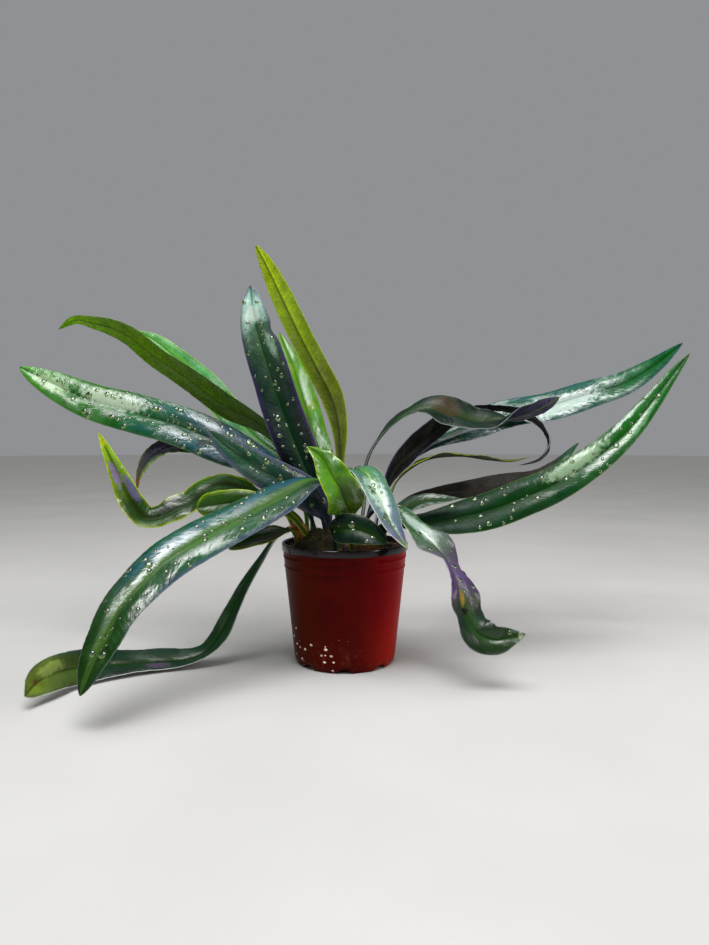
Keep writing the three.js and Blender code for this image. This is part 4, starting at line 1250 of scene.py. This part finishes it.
@node_group(
    "blade relief", "GeometryNodeTree",
    {"Geometry": "Geometry", "Pucker": 0.00035, "Pucker Size": 0.011, "Crinkle": 0.0005,
     "Crinkle Size": 0.006, "Pleat": 0.0001, "Pleat Spacing": 0.0042},
    {"Geometry": "Geometry"},
)
def relief_tree(tree, given):
    """Swells a blade softly between its veins and ruffles its margins."""
    surface = named_value(tree, "surface", "FLOAT_VECTOR")
    flat = vector_calc("MULTIPLY", surface, (1, 1, 0))
    side, along, lane = separate(surface)
    frond_shift = calc("FLOOR", lane / LANE) * 3.1
    away = abs(named_value(tree, "across"))

    def wave(size):
        node = add_node(
            tree, "ShaderNodeTexNoise",
            {"Vector": flat, "W": frond_shift, "Scale": 1.0 / size, "Detail": 1.0}, noise_dimensions="4D",
        )
        return (node[0] - 0.5) * 3.0

    pucker = wave(given["Pucker Size"]) * (away * (1.0 - away) * 4.0) * given["Pucker"]
    ruffle = wave(given["Crinkle Size"]) * away ** 3.0 * given["Crinkle"]
    slanted = along - abs(side) * 0.7
    turn = slanted * (2 * math.pi) / given["Pleat Spacing"] + wave(0.02) * 1.6
    pleat = calc("SINE", turn) * away * given["Pleat"]
    height = (pucker + ruffle + pleat) * named_value(tree, "swell")
    offset = stretched(named_value(tree, "up", "FLOAT_VECTOR"), height)
    return {"Geometry": add_node(
        tree, "GeometryNodeSetPosition", {"Geometry": given["Geometry"], "Offset": offset},
    )[0]}


def repeats(name, inputs):
    """Decorates a Geometry Nodes tree of repeats, which ends with Realize Instances and Set Material."""
    def decorated(fill):
        def filled(tree, given):
            real = add_node(tree, "GeometryNodeRealizeInstances", {0: fill(tree, given)})[0]
            painted = {"Geometry": real, "Material": given["Finish"]}
            return {"Geometry": add_node(tree, "GeometryNodeSetMaterial", painted)[0]}
        sockets = {"Geometry": "Geometry", **inputs, "Finish": "Material"}
        return node_group(name, "GeometryNodeTree", sockets, {"Geometry": "Geometry"})(filled)
    return decorated


def scatter(given, density):
    """Points spread over the incoming faces, and the turn that stands a piece on them."""
    return add_node(
        density.tree, "GeometryNodeDistributePointsOnFaces",
        {"Mesh": given["Geometry"], "Density": density, "Seed": given["Seed"]},
        distribute_method="RANDOM",
    )


def random_value(tree, low, high, seed):
    """A random number, or a random vector between two corners."""
    kind, first, output = ("FLOAT_VECTOR", 0, 0) if isinstance(low, tuple) else ("FLOAT", 2, 1)
    values = {first: low, first + 1: high, "Seed": seed}
    return add_node(tree, "FunctionNodeRandomValue", values, data_type=kind)[output]


def turned(points, low, high, seed):
    """The turn that stands a piece on its point, with a random turn about its own axes."""
    rotation = points["Rotation"]
    by = random_value(rotation.tree, low, high, seed)
    return add_node(
        rotation.tree, "FunctionNodeRotateRotation", {"Rotation": rotation, "Rotate By": by},
        rotation_space="LOCAL",
    )[0]


def placed(points, piece, rotation, scale):
    """A copy of a piece on every point."""
    return add_node(piece.tree, "GeometryNodeInstanceOnPoints", {
        "Points": points, "Instance": piece, "Rotation": rotation, "Scale": scale,
    })[0]


def stored(geometry, name, value, kind="FLOAT", domain="POINT"):
    """Geometry with a named value on it."""
    return add_node(
        geometry.tree, "GeometryNodeStoreNamedAttribute",
        {"Geometry": geometry, "Name": name, "Value": value}, data_type=kind, domain=domain,
    )[0]


def tinted(copies, low, seed):
    """Copies with a number of their own each, from low to 1, which tints them."""
    return stored(copies, "own_tint", random_value(copies.tree, low, 1.0, seed), domain="INSTANCE")


def cone(tree, sides, top, foot):
    """A slender shoot or scale, one unit high."""
    return add_node(tree, "GeometryNodeMeshCone", {
        "Vertices": sides, "Side Segments": 2, "Radius Top": top, "Radius Bottom": foot, "Depth": 1.0,
    })[0]


def tube(curve, sides, radius, **widths):
    """A closed round tube along a curve."""
    section = add_node(
        curve.tree, "GeometryNodeCurvePrimitiveCircle", {"Resolution": sides, "Radius": radius},
    )
    return add_node(curve.tree, "GeometryNodeCurveToMesh", {
        "Curve": curve, "Profile Curve": section[0], "Fill Caps": True, **widths,
    })[0]


@repeats("water beads", {
    "Bead": "Object", "Density": 10000.0, "Spacing": 0.003, "Largest": 0.0026, "Seed": 1,
})
def bead_tree(tree, given):
    """Water beads of many sizes on the wet side of a blade."""
    points = add_node(
        tree, "GeometryNodeDistributePointsOnFaces",
        {"Mesh": given["Geometry"], "Distance Min": given["Spacing"], "Density Max": given["Density"],
         "Density Factor": named_value(tree, "wet"), "Seed": given["Seed"]},
        distribute_method="POISSON",
    )
    bead = add_node(tree, "GeometryNodeObjectInfo", {"Object": given["Bead"]})["Geometry"]
    draw = random_value(tree, 0.0, 1.0, given["Seed"]) ** 1.6
    size = (draw * 0.72 + 0.28) * given["Largest"]
    wide, long = (size * random_value(tree, 0.8, 1.3, given["Seed"] + shift) for shift in (3, 5))
    place = add_node(tree, "GeometryNodeInputPosition")[0]
    # Each bead's middle and size, which place its painted glow.
    marked = stored(stored(points[0], "middle", place, "FLOAT_VECTOR"), "reach", size)
    return placed(marked, bead, points["Rotation"], combined(wide, long, size * 0.72))


def bead_shape():
    """A low dome of water with a closed foot, one unit in radius."""
    sides, rings, height, sunk = 10, 4, 0.58, 0.04
    points = [(0, 0, height)]
    for i in range(1, rings + 1):
        turn = math.pi / 2 * i / rings
        level = height * math.cos(turn) - sunk * (i == rings)
        points += [(x, y, level) for x, y in circle(math.sin(turn), sides)]
    last = 1 + (rings - 1) * sides
    faces = dome_faces(sides, rings) + [tuple(reversed(range(last, last + sides)))]
    return make_mesh("bead", points, faces, (("foot", [0.0] * last + [1.0] * sides),))


def soil_height(x, y, relief, level):
    """The lumpy surface of the soil in metres, as in the solids."""
    u, v = x / MM, y / MM
    lumps = math.sin(u * 0.42 + 1.3) * math.cos(v * 0.37) + 0.6 * math.sin(u * 0.21 - v * 0.55 + 0.4)
    fine = noise.fractal(Vector((u, v, 3)) * 0.35, 0.9, 2.1, 5)
    return level + relief * lumps + 0.9 * MM * fine


def wall_radius(pot, height):
    share = (height - pot.base_rise) / (pot.height - pot.lip_height - pot.base_rise)
    return pot.wall_foot_radius + (pot.wall_top_radius - pot.wall_foot_radius) * share


def arc(centre, radius, start, end, steps):
    """Points on an arc in the profile plane, angles in degrees from outwards, turning upwards."""
    angles = [math.radians(start + (end - start) * i / steps) for i in range(steps + 1)]
    return [(centre[0] + radius * math.cos(a), centre[1] + radius * math.sin(a)) for a in angles]


# The two raised rings under the lip: their heights and how far they stand out.
RING_HEIGHTS = (69.2 * MM, 76.2 * MM)
RING_RISE = 0.42 * MM


def pot_profile(pot):
    """The pot's section from the middle of the base's underside, round the lip, to its floor."""
    lip_foot = pot.height - pot.lip_height
    ring_width = 5 * MM
    inner = pot.foot_radius - ring_width
    rounding = 1.1 * MM
    wall_foot = pot.base_rise + 2 * MM
    points = [(r * MM, pot.base_rise) for r in (0.01, 8, 14, 20, 26)]
    points += [(inner - 1.6 * MM, pot.base_rise), (inner - 0.9 * MM, pot.base_rise * 0.6)]
    points += arc((inner + rounding, rounding), rounding, 200, 270, 4)
    points += arc((pot.foot_radius - rounding * 0.4, rounding), rounding, 270, 335, 4)
    points += [(pot.foot_radius + 1.5 * MM, 1.9 * MM), (wall_radius(pot, wall_foot), wall_foot)]

    def wall(heights):
        return [(wall_radius(pot, h), h) for h in heights]

    points += wall(np.arange(8, 68, 4) * MM)
    for height in RING_HEIGHTS:
        for i in range(-4, 5):
            place = height + i * 0.3 * MM
            rise = RING_RISE * math.cos(i * math.pi / 8)
            points.append((wall_radius(pot, place) + rise, place))
        points += wall([height + 2 * MM])
    points += wall([lip_foot - 0.25 * MM])
    points += arc((pot.lip_radius - 0.5 * MM, lip_foot + 0.5 * MM), 0.5 * MM, -80, 0, 3)
    points += [(pot.lip_radius, lip_foot + 2.4 * MM)]
    points += arc((pot.lip_radius - 1.1 * MM, pot.height - 1.1 * MM), 1.1 * MM, 0, 180, 9)
    points += [(wall_radius(pot, lip_foot) - pot.wall, lip_foot)]
    points += [(wall_radius(pot, h) - pot.wall, h) for h in np.arange(76, 7, -6) * MM]
    points += [(wall_radius(pot, wall_foot) - pot.wall - 1.6 * MM, pot.base_rise + pot.wall)]
    points += [(r * MM, pot.base_rise + pot.wall) for r in (26, 20, 14, 8, 0.01)]
    return points


def pot_mesh(pot):
    """The pot as a lathe whose foot is arched up at every notch, in red outside and black inside."""
    profile = pot_profile(pot)
    lip_foot = pot.height - pot.lip_height
    half_notch = pot.notch_width / 2
    points = []
    for k in range(pot.sides):
        angle = 2 * math.pi * k / pot.sides
        offset = (angle - math.pi / 2) % (2 * math.pi / pot.notches)
        offset = min(offset, 2 * math.pi / pot.notches - offset)
        for radius, height in profile:
            along = offset * pot.foot_radius / half_notch
            if radius > pot.foot_radius - 7 * MM and along < 1:
                height = max(height, pot.notch_height * math.sqrt(1 - along**2))
            points.append((radius * math.cos(angle), radius * math.sin(angle), height))
    around = len(profile)
    faces = []
    outer = []
    top = max(range(around), key=lambda i: profile[i][1])
    for k in range(pot.sides):
        after = (k + 1) % pot.sides
        for i in range(around - 1):
            faces.append((k * around + i, after * around + i, after * around + i + 1, k * around + i + 1))
            outer.append(i < top and profile[i + 1][1] <= lip_foot + 0.3 * MM)
    faces.append(tuple(k * around for k in reversed(range(pot.sides))))
    outer.append(True)
    faces.append(tuple(k * around + around - 1 for k in range(pot.sides)))
    outer.append(False)
    mesh = make_mesh("pot", points, faces)
    for face, red in zip(mesh.polygons, outer):
        face.material_index = 0 if red else 1
    return mesh


# The drain holes in the base: how far out they lie, their radius and their number of sides.
HOLE_REACH = 20 * MM
HOLE_RADIUS = 3.4 * MM
HOLE_SIDES = 24


def drilled(mesh, pot):
    """The pot with its round drain holes cut through the base."""
    points, faces = [], []
    for i in range(pot.notches):
        turn = 2 * math.pi * i / pot.notches + math.pi / 2
        x, y = HOLE_REACH * math.cos(turn), HOLE_REACH * math.sin(turn)
        first = len(points)
        for height in (pot.base_rise - 1 * MM, pot.base_rise + pot.wall + 1 * MM):
            points += [(x + u, y + v, height) for u, v in circle(HOLE_RADIUS, HOLE_SIDES)]
        faces += ring_faces(first, HOLE_SIDES)
        faces.append(tuple(reversed(range(first, first + HOLE_SIDES))))
        faces.append(tuple(range(first + HOLE_SIDES, first + 2 * HOLE_SIDES)))
    drill = link_object("drill", make_mesh("drill", points, faces))
    carrier = link_object("carrier", mesh)
    cut = carrier.modifiers.new("holes", "BOOLEAN")
    cut.object = drill
    cut.operation = "DIFFERENCE"
    cut.solver = "EXACT"
    made = evaluated(carrier)
    bpy.data.objects.remove(drill)
    return made


@repeats("mineral flecks", {"Density": 30000.0, "Largest": 0.0014, "Seed": 3})
def fleck_tree(tree, given):
    """Small raised crusts on the lower wall of the pot, thickest on one side."""
    position = add_node(tree, "GeometryNodeInputPosition")[0]
    normal = add_node(tree, "GeometryNodeInputNormal")[0]
    x, y, z = separate(position)
    outward = add_node(
        tree, "ShaderNodeVectorMath", {0: normal, 1: position}, operation="DOT_PRODUCT",
    )["Value"]
    side = ramped(x, 0.004, -0.02) * given["Density"]
    density = ramped(z, 0.034, 0.012) * ramped(y, 0.0, -0.02) * side
    points = scatter(given, density * calc("GREATER_THAN", outward, 0.02))
    crust = add_node(tree, "GeometryNodeMeshIcoSphere", {"Radius": 1.0, "Subdivisions": 2})[0]
    size = random_value(tree, 0.4, 1.0, given["Seed"]) ** 2.6 * given["Largest"]
    return placed(points[0], crust, points["Rotation"], combined(size, size * 0.75, size * 0.22))


def soil_mesh(soil, pot):
    """The body of the soil, with a fine lumpy surface over a plain side and foot."""
    bottom = pot.base_rise + pot.wall + 0.3 * MM
    shoulder = bottom + 2 * pot.wall
    edge = wall_radius(pot, soil.level) - pot.wall - 0.6 * MM
    sides, rings = 150, 46
    points, faces = [], []
    for height, gap in ((bottom, 2.2), (shoulder, 0.6)):
        radius = wall_radius(pot, height) - pot.wall - gap * MM
        points += [(x, y, height) for x, y in circle(radius, sides)]
    for i in range(rings):
        sunk = 1.2 * MM if i == 0 else 0
        for x, y in circle(edge * (1 - i / rings), sides):
            points.append((x, y, soil_height(x, y, soil.relief, soil.level) - sunk))
    last = len(points) - sides
    for first in range(0, last, sides):
        faces += ring_faces(first, sides)
    points.append((0, 0, soil_height(0, 0, soil.relief, soil.level)))
    faces += [(last + k, last + (k + 1) % sides, last + sides) for k in range(sides)]
    faces.append(tuple(reversed(range(sides))))
    low, wide = soil.level - 4 * MM, edge - 1.5 * MM
    surface = [float(z > low and math.hypot(x, y) < wide) for x, y, z in points]
    return make_mesh("soil", points, faces, (("litter", surface),))


@repeats("bark chips", {"Density": 90000.0, "Shortest": 0.0012, "Longest": 0.0046, "Seed": 7})
def chip_tree(tree, given):
    """Bark chips of many sizes lying on the soil."""
    points = scatter(given, given["Density"] * named_value(tree, "litter"))
    chunk = add_node(tree, "GeometryNodeMeshCube", {
        "Size": (1, 1, 1), "Vertices X": 4, "Vertices Y": 3, "Vertices Z": 2,
    })[0]
    draw = random_value(tree, 0.0, 1.0, given["Seed"]) ** 2.0
    size = draw * (given["Longest"] - given["Shortest"]) + given["Shortest"]
    shape = stretched(random_value(tree, (0.9, 0.4, 0.22), (1.3, 0.8, 0.5), 11), size)
    chips = placed(points[0], chunk, turned(points, (-0.5, -0.5, -3.1), (0.5, 0.5, 3.1), 12), shape)
    real = add_node(tree, "GeometryNodeRealizeInstances", {0: tinted(chips, 0.0, 13)})[0]
    rough = add_node(tree, "ShaderNodeTexNoise", {"Scale": 420.0, "Detail": 2.0})["Color"]
    jitter = stretched(vector_calc("SUBTRACT", rough, (0.5, 0.5, 0.5)), 0.0028)
    return add_node(tree, "GeometryNodeSetPosition", {"Geometry": real, "Offset": jitter})[0]


# The two mounds on the soil, in millimetres: x, y, radius and height. Their fibres lie so many
# times denser than on the soil, and so many moss shoots stand on a square metre of them.
CLUMPS = {
    "coir_clump": (16.5, -24.0, 10.0, 10.5),
    "moss_mound": (-17.0, -18.5, 15.5, 14.5),
}
MOUND_FIBRES = 28
MOUND_SHOOTS = 1100000.0


def clump_mesh(name):
    """A dome of matted fibre that stands on the soil."""
    x, y, radius, height = CLUMPS[name]
    sides, rings, sunk = 40, 10, 2
    points = [(x, y, SOIL_LEVEL + height)]
    for i in range(1, rings + 1):
        turn = math.pi / 2 * i / rings
        for k in range(sides):
            angle = 2 * math.pi * k / sides
            lump = 1 + 0.09 * math.sin(3 * angle + 2.2 * turn) + 0.06 * math.sin(7 * angle + 1.3)
            reach = radius * lump * math.sin(turn)
            points.append((x + reach * math.cos(angle), y + reach * math.sin(angle) * 0.85,
                           SOIL_LEVEL - sunk + (height + sunk) * lump * math.cos(turn)))
    last = 1 + (rings - 1) * sides
    faces = dome_faces(sides, rings) + [tuple(reversed(range(last, last + sides)))]
    litter = np.ones(len(points))
    return make_mesh(name, np.array(points) * MM, faces, (("litter", litter), ("own_tint", litter * 0.3)))


@repeats("coir fibres", {"Density": 42000.0, "Length": 0.009, "Radius": 0.00016, "Seed": 8})
def fibre_tree(tree, given):
    """Thin curled fibres lying over the chips."""
    points = scatter(given, given["Density"] * named_value(tree, "litter"))
    strand = add_node(tree, "GeometryNodeCurveQuadraticBezier", {
        "Resolution": 6, "Start": (-0.5, 0, -0.04), "Middle": (0.05, 0.22, 0.36),
        "End": (0.5, -0.06, -0.04),
    })[0]
    size = random_value(tree, 0.4, 1.25, 21) * given["Length"]
    strands = placed(points[0], strand, turned(points, (-0.3, -0.3, -3.1), (0.3, 0.3, 3.1), 22), size)
    real = add_node(tree, "GeometryNodeRealizeInstances", {0: tinted(strands, 0.0, 23)})[0]
    return tube(real, 4, given["Radius"])


@repeats("moss tufts", {"Density": 90000.0, "Height": 0.0022, "Seed": 9})
def moss_tree(tree, given):
    """Small tufts of moss in the damp places."""
    position = add_node(tree, "GeometryNodeInputPosition")[0]
    damp = ramped(noise_value(position, 75.0, 2.0), 0.56, 0.66)
    points = scatter(given, given["Density"] * named_value(tree, "litter") * damp)
    size = random_value(tree, 0.5, 1.2, 31) * given["Height"]
    turn = turned(points, (-0.8, -0.8, -3.1), (0.8, 0.8, 3.1), 32)
    return placed(points[0], cone(tree, 5, 0.02, 0.22), turn, size)


# The creeping rhizome's course over the soil, and its young tip's, in millimetres.
RHIZOME_RADIUS = 4.4 * MM
RHIZOME_LEVEL = 81.5
RHIZOME_PATH = [
    (-34, -11), (-27, -8.5), (-20, -8), (-13, -8), (-5, -7), (3, -6), (12, -5), (20, -2), (28, 1),
]
TIP_PATH = [(-29, -15, 79), (-29.5, -15, 88), (-31, -15.5, 95), (-34, -16, 101)]


def path_mesh(name, points):
    """An open line on a smooth curve through points in millimetres."""
    line = centripetal(np.array(points) * MM, np.linspace(0, 1, 40))
    mesh = bpy.data.meshes.new(name)
    mesh.from_pydata([tuple(point) for point in line], [(i, i + 1) for i in range(len(line) - 1)], [])
    return mesh


@repeats("creeping rhizome", {
    "Radius": RHIZOME_RADIUS, "Scale Density": 150000.0, "Scale Length": 0.0034, "Seed": 5,
})
def rhizome_tree(tree, given):
    """A knobbly tube along a path, with papery scales lying forward on it."""
    line = add_node(tree, "GeometryNodeMeshToCurve", {0: given["Geometry"]})[0]
    line = add_node(tree, "GeometryNodeResampleCurve", {"Curve": line, "Count": 90})[0]
    share = add_node(tree, "GeometryNodeSplineParameter")["Factor"]
    closing = ramped(share, 0.0, 0.05) * ramped(share, 1.0, 0.95)
    knobs = noise_value(add_node(tree, "GeometryNodeInputPosition")[0], 130.0, 2.0)
    width = (knobs * 0.4 + 0.76) * closing
    skin = tube(line, 28, given["Radius"], Scale=calc("MAXIMUM", width, 0.05))
    points = scatter({"Geometry": skin, "Seed": given["Seed"]}, given["Scale Density"])
    size = random_value(tree, 0.5, 1.2, 41) * given["Scale Length"]
    turn = turned(points, (1.1, -0.4, -0.7), (1.45, 0.4, 0.7), 42)
    flakes = placed(points[0], cone(tree, 6, 0.0, 0.3), turn, combined(size, size * 0.3, size))
    both = add_node(tree, "GeometryNodeJoinGeometry", {0: tinted(flakes, 0.3, 43)})
    feed(both.node, {0: skin})
    return both[0]


def floor_mesh(radius):
    """A round floor with finer rings towards its middle."""
    sides, rings = 96, 12
    points = [(0, 0, 0)]
    for i in range(1, rings + 1):
        points += [(x, y, 0) for x, y in circle(radius * (i / rings) ** 2, sides)]
    return make_mesh("floor", points, dome_faces(sides, rings))


def light(name, kind, power):
    """A light and its lamp, linked into the scene."""
    data = bpy.data.lights.new(name, kind)
    data.energy = power
    lamp = bpy.data.objects.new(name, data)
    bpy.context.scene.collection.objects.link(lamp)
    return data, lamp


def softbox(name, place, target, size, power, tint):
    """A rectangular light that looks at a point."""
    data, lamp = light(name, "AREA", power)
    data.shape = "RECTANGLE"
    data.size, data.size_y = size
    data.color = tint
    lamp.location = place
    lamp.rotation_euler = (Vector(target) - Vector(place)).to_track_quat("-Z", "Y").to_euler()


def soft_sun(name, toward, strength, spread):
    """A sun as wide as a bright sky, seen in one direction; spread is its angle in degrees."""
    data, lamp = light(name, "SUN", strength)
    data.angle = math.radians(spread)
    lamp.rotation_euler = Vector(toward).to_track_quat("Z", "Y").to_euler()


class FERN_OT_pot(bpy.types.Operator):
    """Make the thin nursery pot with its lip, rings, notches, drain holes and mineral crust"""

    bl_idname = "fern.pot"
    bl_label = "Pot"

    def execute(self, context):
        sizes = context.scene.fern_pot
        mesh = pot_mesh(sizes)
        mesh.materials.append(red_plastic(sizes.red))
        mesh.materials.append(black_plastic())
        whole = drilled(mesh, sizes)
        flecks = run_tree(whole, fleck_tree(), {"Finish": mineral_material()})
        finished("nursery_pot", whole, "pot_plastic", ["pot"])
        finished("mineral_flecks", flecks)
        return {"FINISHED"}


class FERN_OT_soil(bpy.types.Operator):
    """Make the potting bark with its chips, fibres, moss and two mounds"""

    bl_idname = "fern.soil"
    bl_label = "Soil"

    def execute(self, context):
        sizes = context.scene.fern_soil
        bed = soil_mesh(sizes, context.scene.fern_pot)
        bark = bark_material("damp bark", "0f0b08", "3a281a", "5a3a20")
        fibre = bark_material("coir fibre", "3a2412", "8a5a2a", "b5682c")
        peat = bark_material("peat fibre", "120d07", "45371b", "6b6a2c")
        green = moss_material()
        litter = {
            "bark_chips": (chip_tree(), {
                "Density": sizes.chip_density, "Seed": sizes.seed, "Finish": bark,
            }),
            "coir_fibres": (fibre_tree(), {
                "Density": sizes.fibre_density, "Seed": sizes.seed + 1, "Finish": fibre,
            }),
            "moss_tufts": (moss_tree(), {"Seed": sizes.seed + 2, "Finish": green}),
        }
        meshes = {name: run_tree(bed, tree, values) for name, (tree, values) in litter.items()}
        bed.materials.append(bark)
        finished("soil_bed", bed, "potting_bark", ["soil"])
        for name, mesh in meshes.items():
            finished(name, mesh, None if name == "moss_tufts" else "potting_bark")
        for name, finish in (("coir_clump", fibre), ("moss_mound", peat)):
            clump = clump_mesh(name)
            matted = run_tree(clump, fibre_tree(), {
                "Density": sizes.fibre_density * MOUND_FIBRES, "Length": 6.5 * MM,
                "Seed": sizes.seed + 3, "Finish": finish,
            })
            shoots = run_tree(clump, moss_tree(), {
                "Density": MOUND_SHOOTS, "Seed": sizes.seed + 4, "Finish": green,
            })
            clump.materials.append(bark)
            finished(name, clump, "potting_bark")
            finished(f"{name}_fibres", matted, "potting_bark")
            finished(f"{name}_shoots", shoots)
        return {"FINISHED"}


class FERN_OT_rhizome(bpy.types.Operator):
    """Make the creeping rhizome that the fronds grow from, and its young tip"""

    bl_idname = "fern.rhizome"
    bl_label = "Rhizome"

    def execute(self, context):
        course = [(x, y, RHIZOME_LEVEL) for x, y in RHIZOME_PATH]
        skin = rhizome_material("rhizome skin", "2a1c10", "5f4526", "8a5a2c")
        scales = rhizome_material("young rhizome scales", "5a280e", "a85c28", "d09058")
        for name, replaced, points, values in (
            ("creeping_rhizome", ["rhizome"], course, {"Finish": skin}),
            ("rhizome_tip", (), TIP_PATH, {
                "Radius": 3.9 * MM, "Scale Density": 320000.0, "Scale Length": 7 * MM, "Seed": 11,
                "Finish": scales,
            }),
        ):
            mesh = run_tree(path_mesh(name + " path", points), rhizome_tree(), values)
            mesh.shade_smooth()
            finished(name, mesh, "rhizome_skin", replaced)
        return {"FINISHED"}


def frond_slots():
    """The finish slot of every frond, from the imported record."""
    return {part["node"]: part["material_slot"] for part in frame["record"]["subparts"]}


def frond_look(name):
    return {**PLAIN_LOOK, **LOOKS[name]}


class FERN_OT_fronds(bpy.types.Operator):
    """Make every frond with its keel, puckers and ruffled margins"""

    bl_idname = "fern.fronds"
    bl_label = "Fronds"

    def execute(self, context):
        sizes = context.scene.fern_blades
        slots = frond_slots()
        for order, frond in enumerate(FRONDS):
            name = frond["name"]
            look = frond_look(name)
            mesh = run_tree(blade_mesh(frond, order, sizes), relief_tree(), {
                "Pucker": sizes.pucker, "Pucker Size": sizes.pucker_size, "Crinkle": look["crinkle"] * MM,
                "Pleat": look["pleat"] * MM, "Pleat Spacing": sizes.vein_spacing,
            })
            mesh.materials.append(blade_material(name, look, sizes.vein_spacing))
            finished("blade_" + name, mesh, slots["frond_" + name], ["frond_" + name])
        return {"FINISHED"}


class FERN_OT_beads(bpy.types.Operator):
    """Put water beads on the wet fronds"""

    bl_idname = "fern.beads"
    bl_label = "Water beads"

    def execute(self, context):
        water = water_material()
        bead = link_object("bead", bead_shape())
        for order, frond in enumerate(FRONDS):
            name = frond["name"]
            amount = frond_look(name)["beads"]
            if not amount:
                continue
            mesh = run_tree(bpy.data.objects["blade_" + name].data, bead_tree(), {
                "Bead": bead, "Density": amount * 10000.0, "Seed": order, "Finish": water,
            })
            finished("dew_" + name, mesh).visible_shadow = False
        bpy.data.objects.remove(bead)
        return {"FINISHED"}


class FERN_OT_stage(bpy.types.Operator):
    """Set out the pale floor, the soft lights and the camera"""

    bl_idname = "fern.stage"
    bl_label = "Stage"

    def execute(self, context):
        scene, sizes = context.scene, context.scene.fern_stage
        floor = link_object("floor", floor_mesh(sizes.floor_radius))
        floor.data.materials.append(floor_material())
        world = bpy.data.worlds.new("pale surroundings")
        world.use_nodes = True
        seen = add_node(world.node_tree, "ShaderNodeLightPath")["Is Camera Ray"]
        feed(world.node_tree.nodes["Background"], {
            "Color": linear("e6e8ec"), "Strength": seen * 0.13 + sizes.brightness,
        })
        scene.world = world
        softbox("overhead", (-0.12, -0.5, 1.25), (0, 0, 0.15), (0.9, 0.6), 24, (1.0, 1.0, 1.0))
        soft_sun("sky light", (0.0, 0.1, 1.0), 1.3, 40)
        softbox("right side", (1.1, -0.5, 0.6), (0.03, 0, 0.1), (0.4, 0.7), 8, (1.0, 0.97, 0.93))
        softbox("front fill", (-0.5, -1.1, 0.9), (0, 0, 0.12), (0.5, 0.5), 2, (0.95, 0.98, 1.0))
        data = bpy.data.cameras.new("camera")
        data.sensor_width = 36
        data.lens = sizes.lens
        camera = link_object("camera", data)
        camera.location = sizes.eye
        camera.rotation_euler = (math.pi / 2 - sizes.pitch, 0, 0)
        scene.camera = camera
        scene.view_settings.view_transform = "Standard"
        return {"FINISHED"}


OPERATORS = (FERN_OT_pot, FERN_OT_soil, FERN_OT_rhizome, FERN_OT_fronds, FERN_OT_beads, FERN_OT_stage)
SETTINGS = (
    ("fern_pot", PotSizes), ("fern_soil", SoilSizes), ("fern_blades", BladeSizes),
    ("fern_stage", StageSizes),
)


class FERN_PT_panel(bpy.types.Panel):
    """The fern's sizes, with a button for each group of pieces"""

    bl_idname = "FERN_PT_panel"
    bl_label = "Potted strap fern"
    bl_space_type = "VIEW_3D"
    bl_region_type = "UI"
    bl_category = "Fern"

    def draw(self, context):
        for title, group in SETTINGS:
            box = self.layout.box()
            values = getattr(context.scene, title)
            for name in group.__annotations__:
                box.prop(values, name)
        for operator in OPERATORS:
            self.layout.operator(operator.bl_idname)


def register():
    for title, group in SETTINGS:
        bpy.utils.register_class(group)
        setattr(bpy.types.Scene, title, PointerProperty(type=group))
    for operator in OPERATORS:
        bpy.utils.register_class(operator)
    bpy.utils.register_class(FERN_PT_panel)


def unregister():
    bpy.utils.unregister_class(FERN_PT_panel)
    for operator in reversed(OPERATORS):
        bpy.utils.unregister_class(operator)
    for title, group in reversed(SETTINGS):
        delattr(bpy.types.Scene, title)
        bpy.utils.unregister_class(group)


def main():
    register()
    for operator in (
        bpy.ops.fern.pot, bpy.ops.fern.soil, bpy.ops.fern.rhizome,
        bpy.ops.fern.fronds, bpy.ops.fern.beads, bpy.ops.fern.stage,
    ):
        operator()


if __name__ == "__main__":
    main()
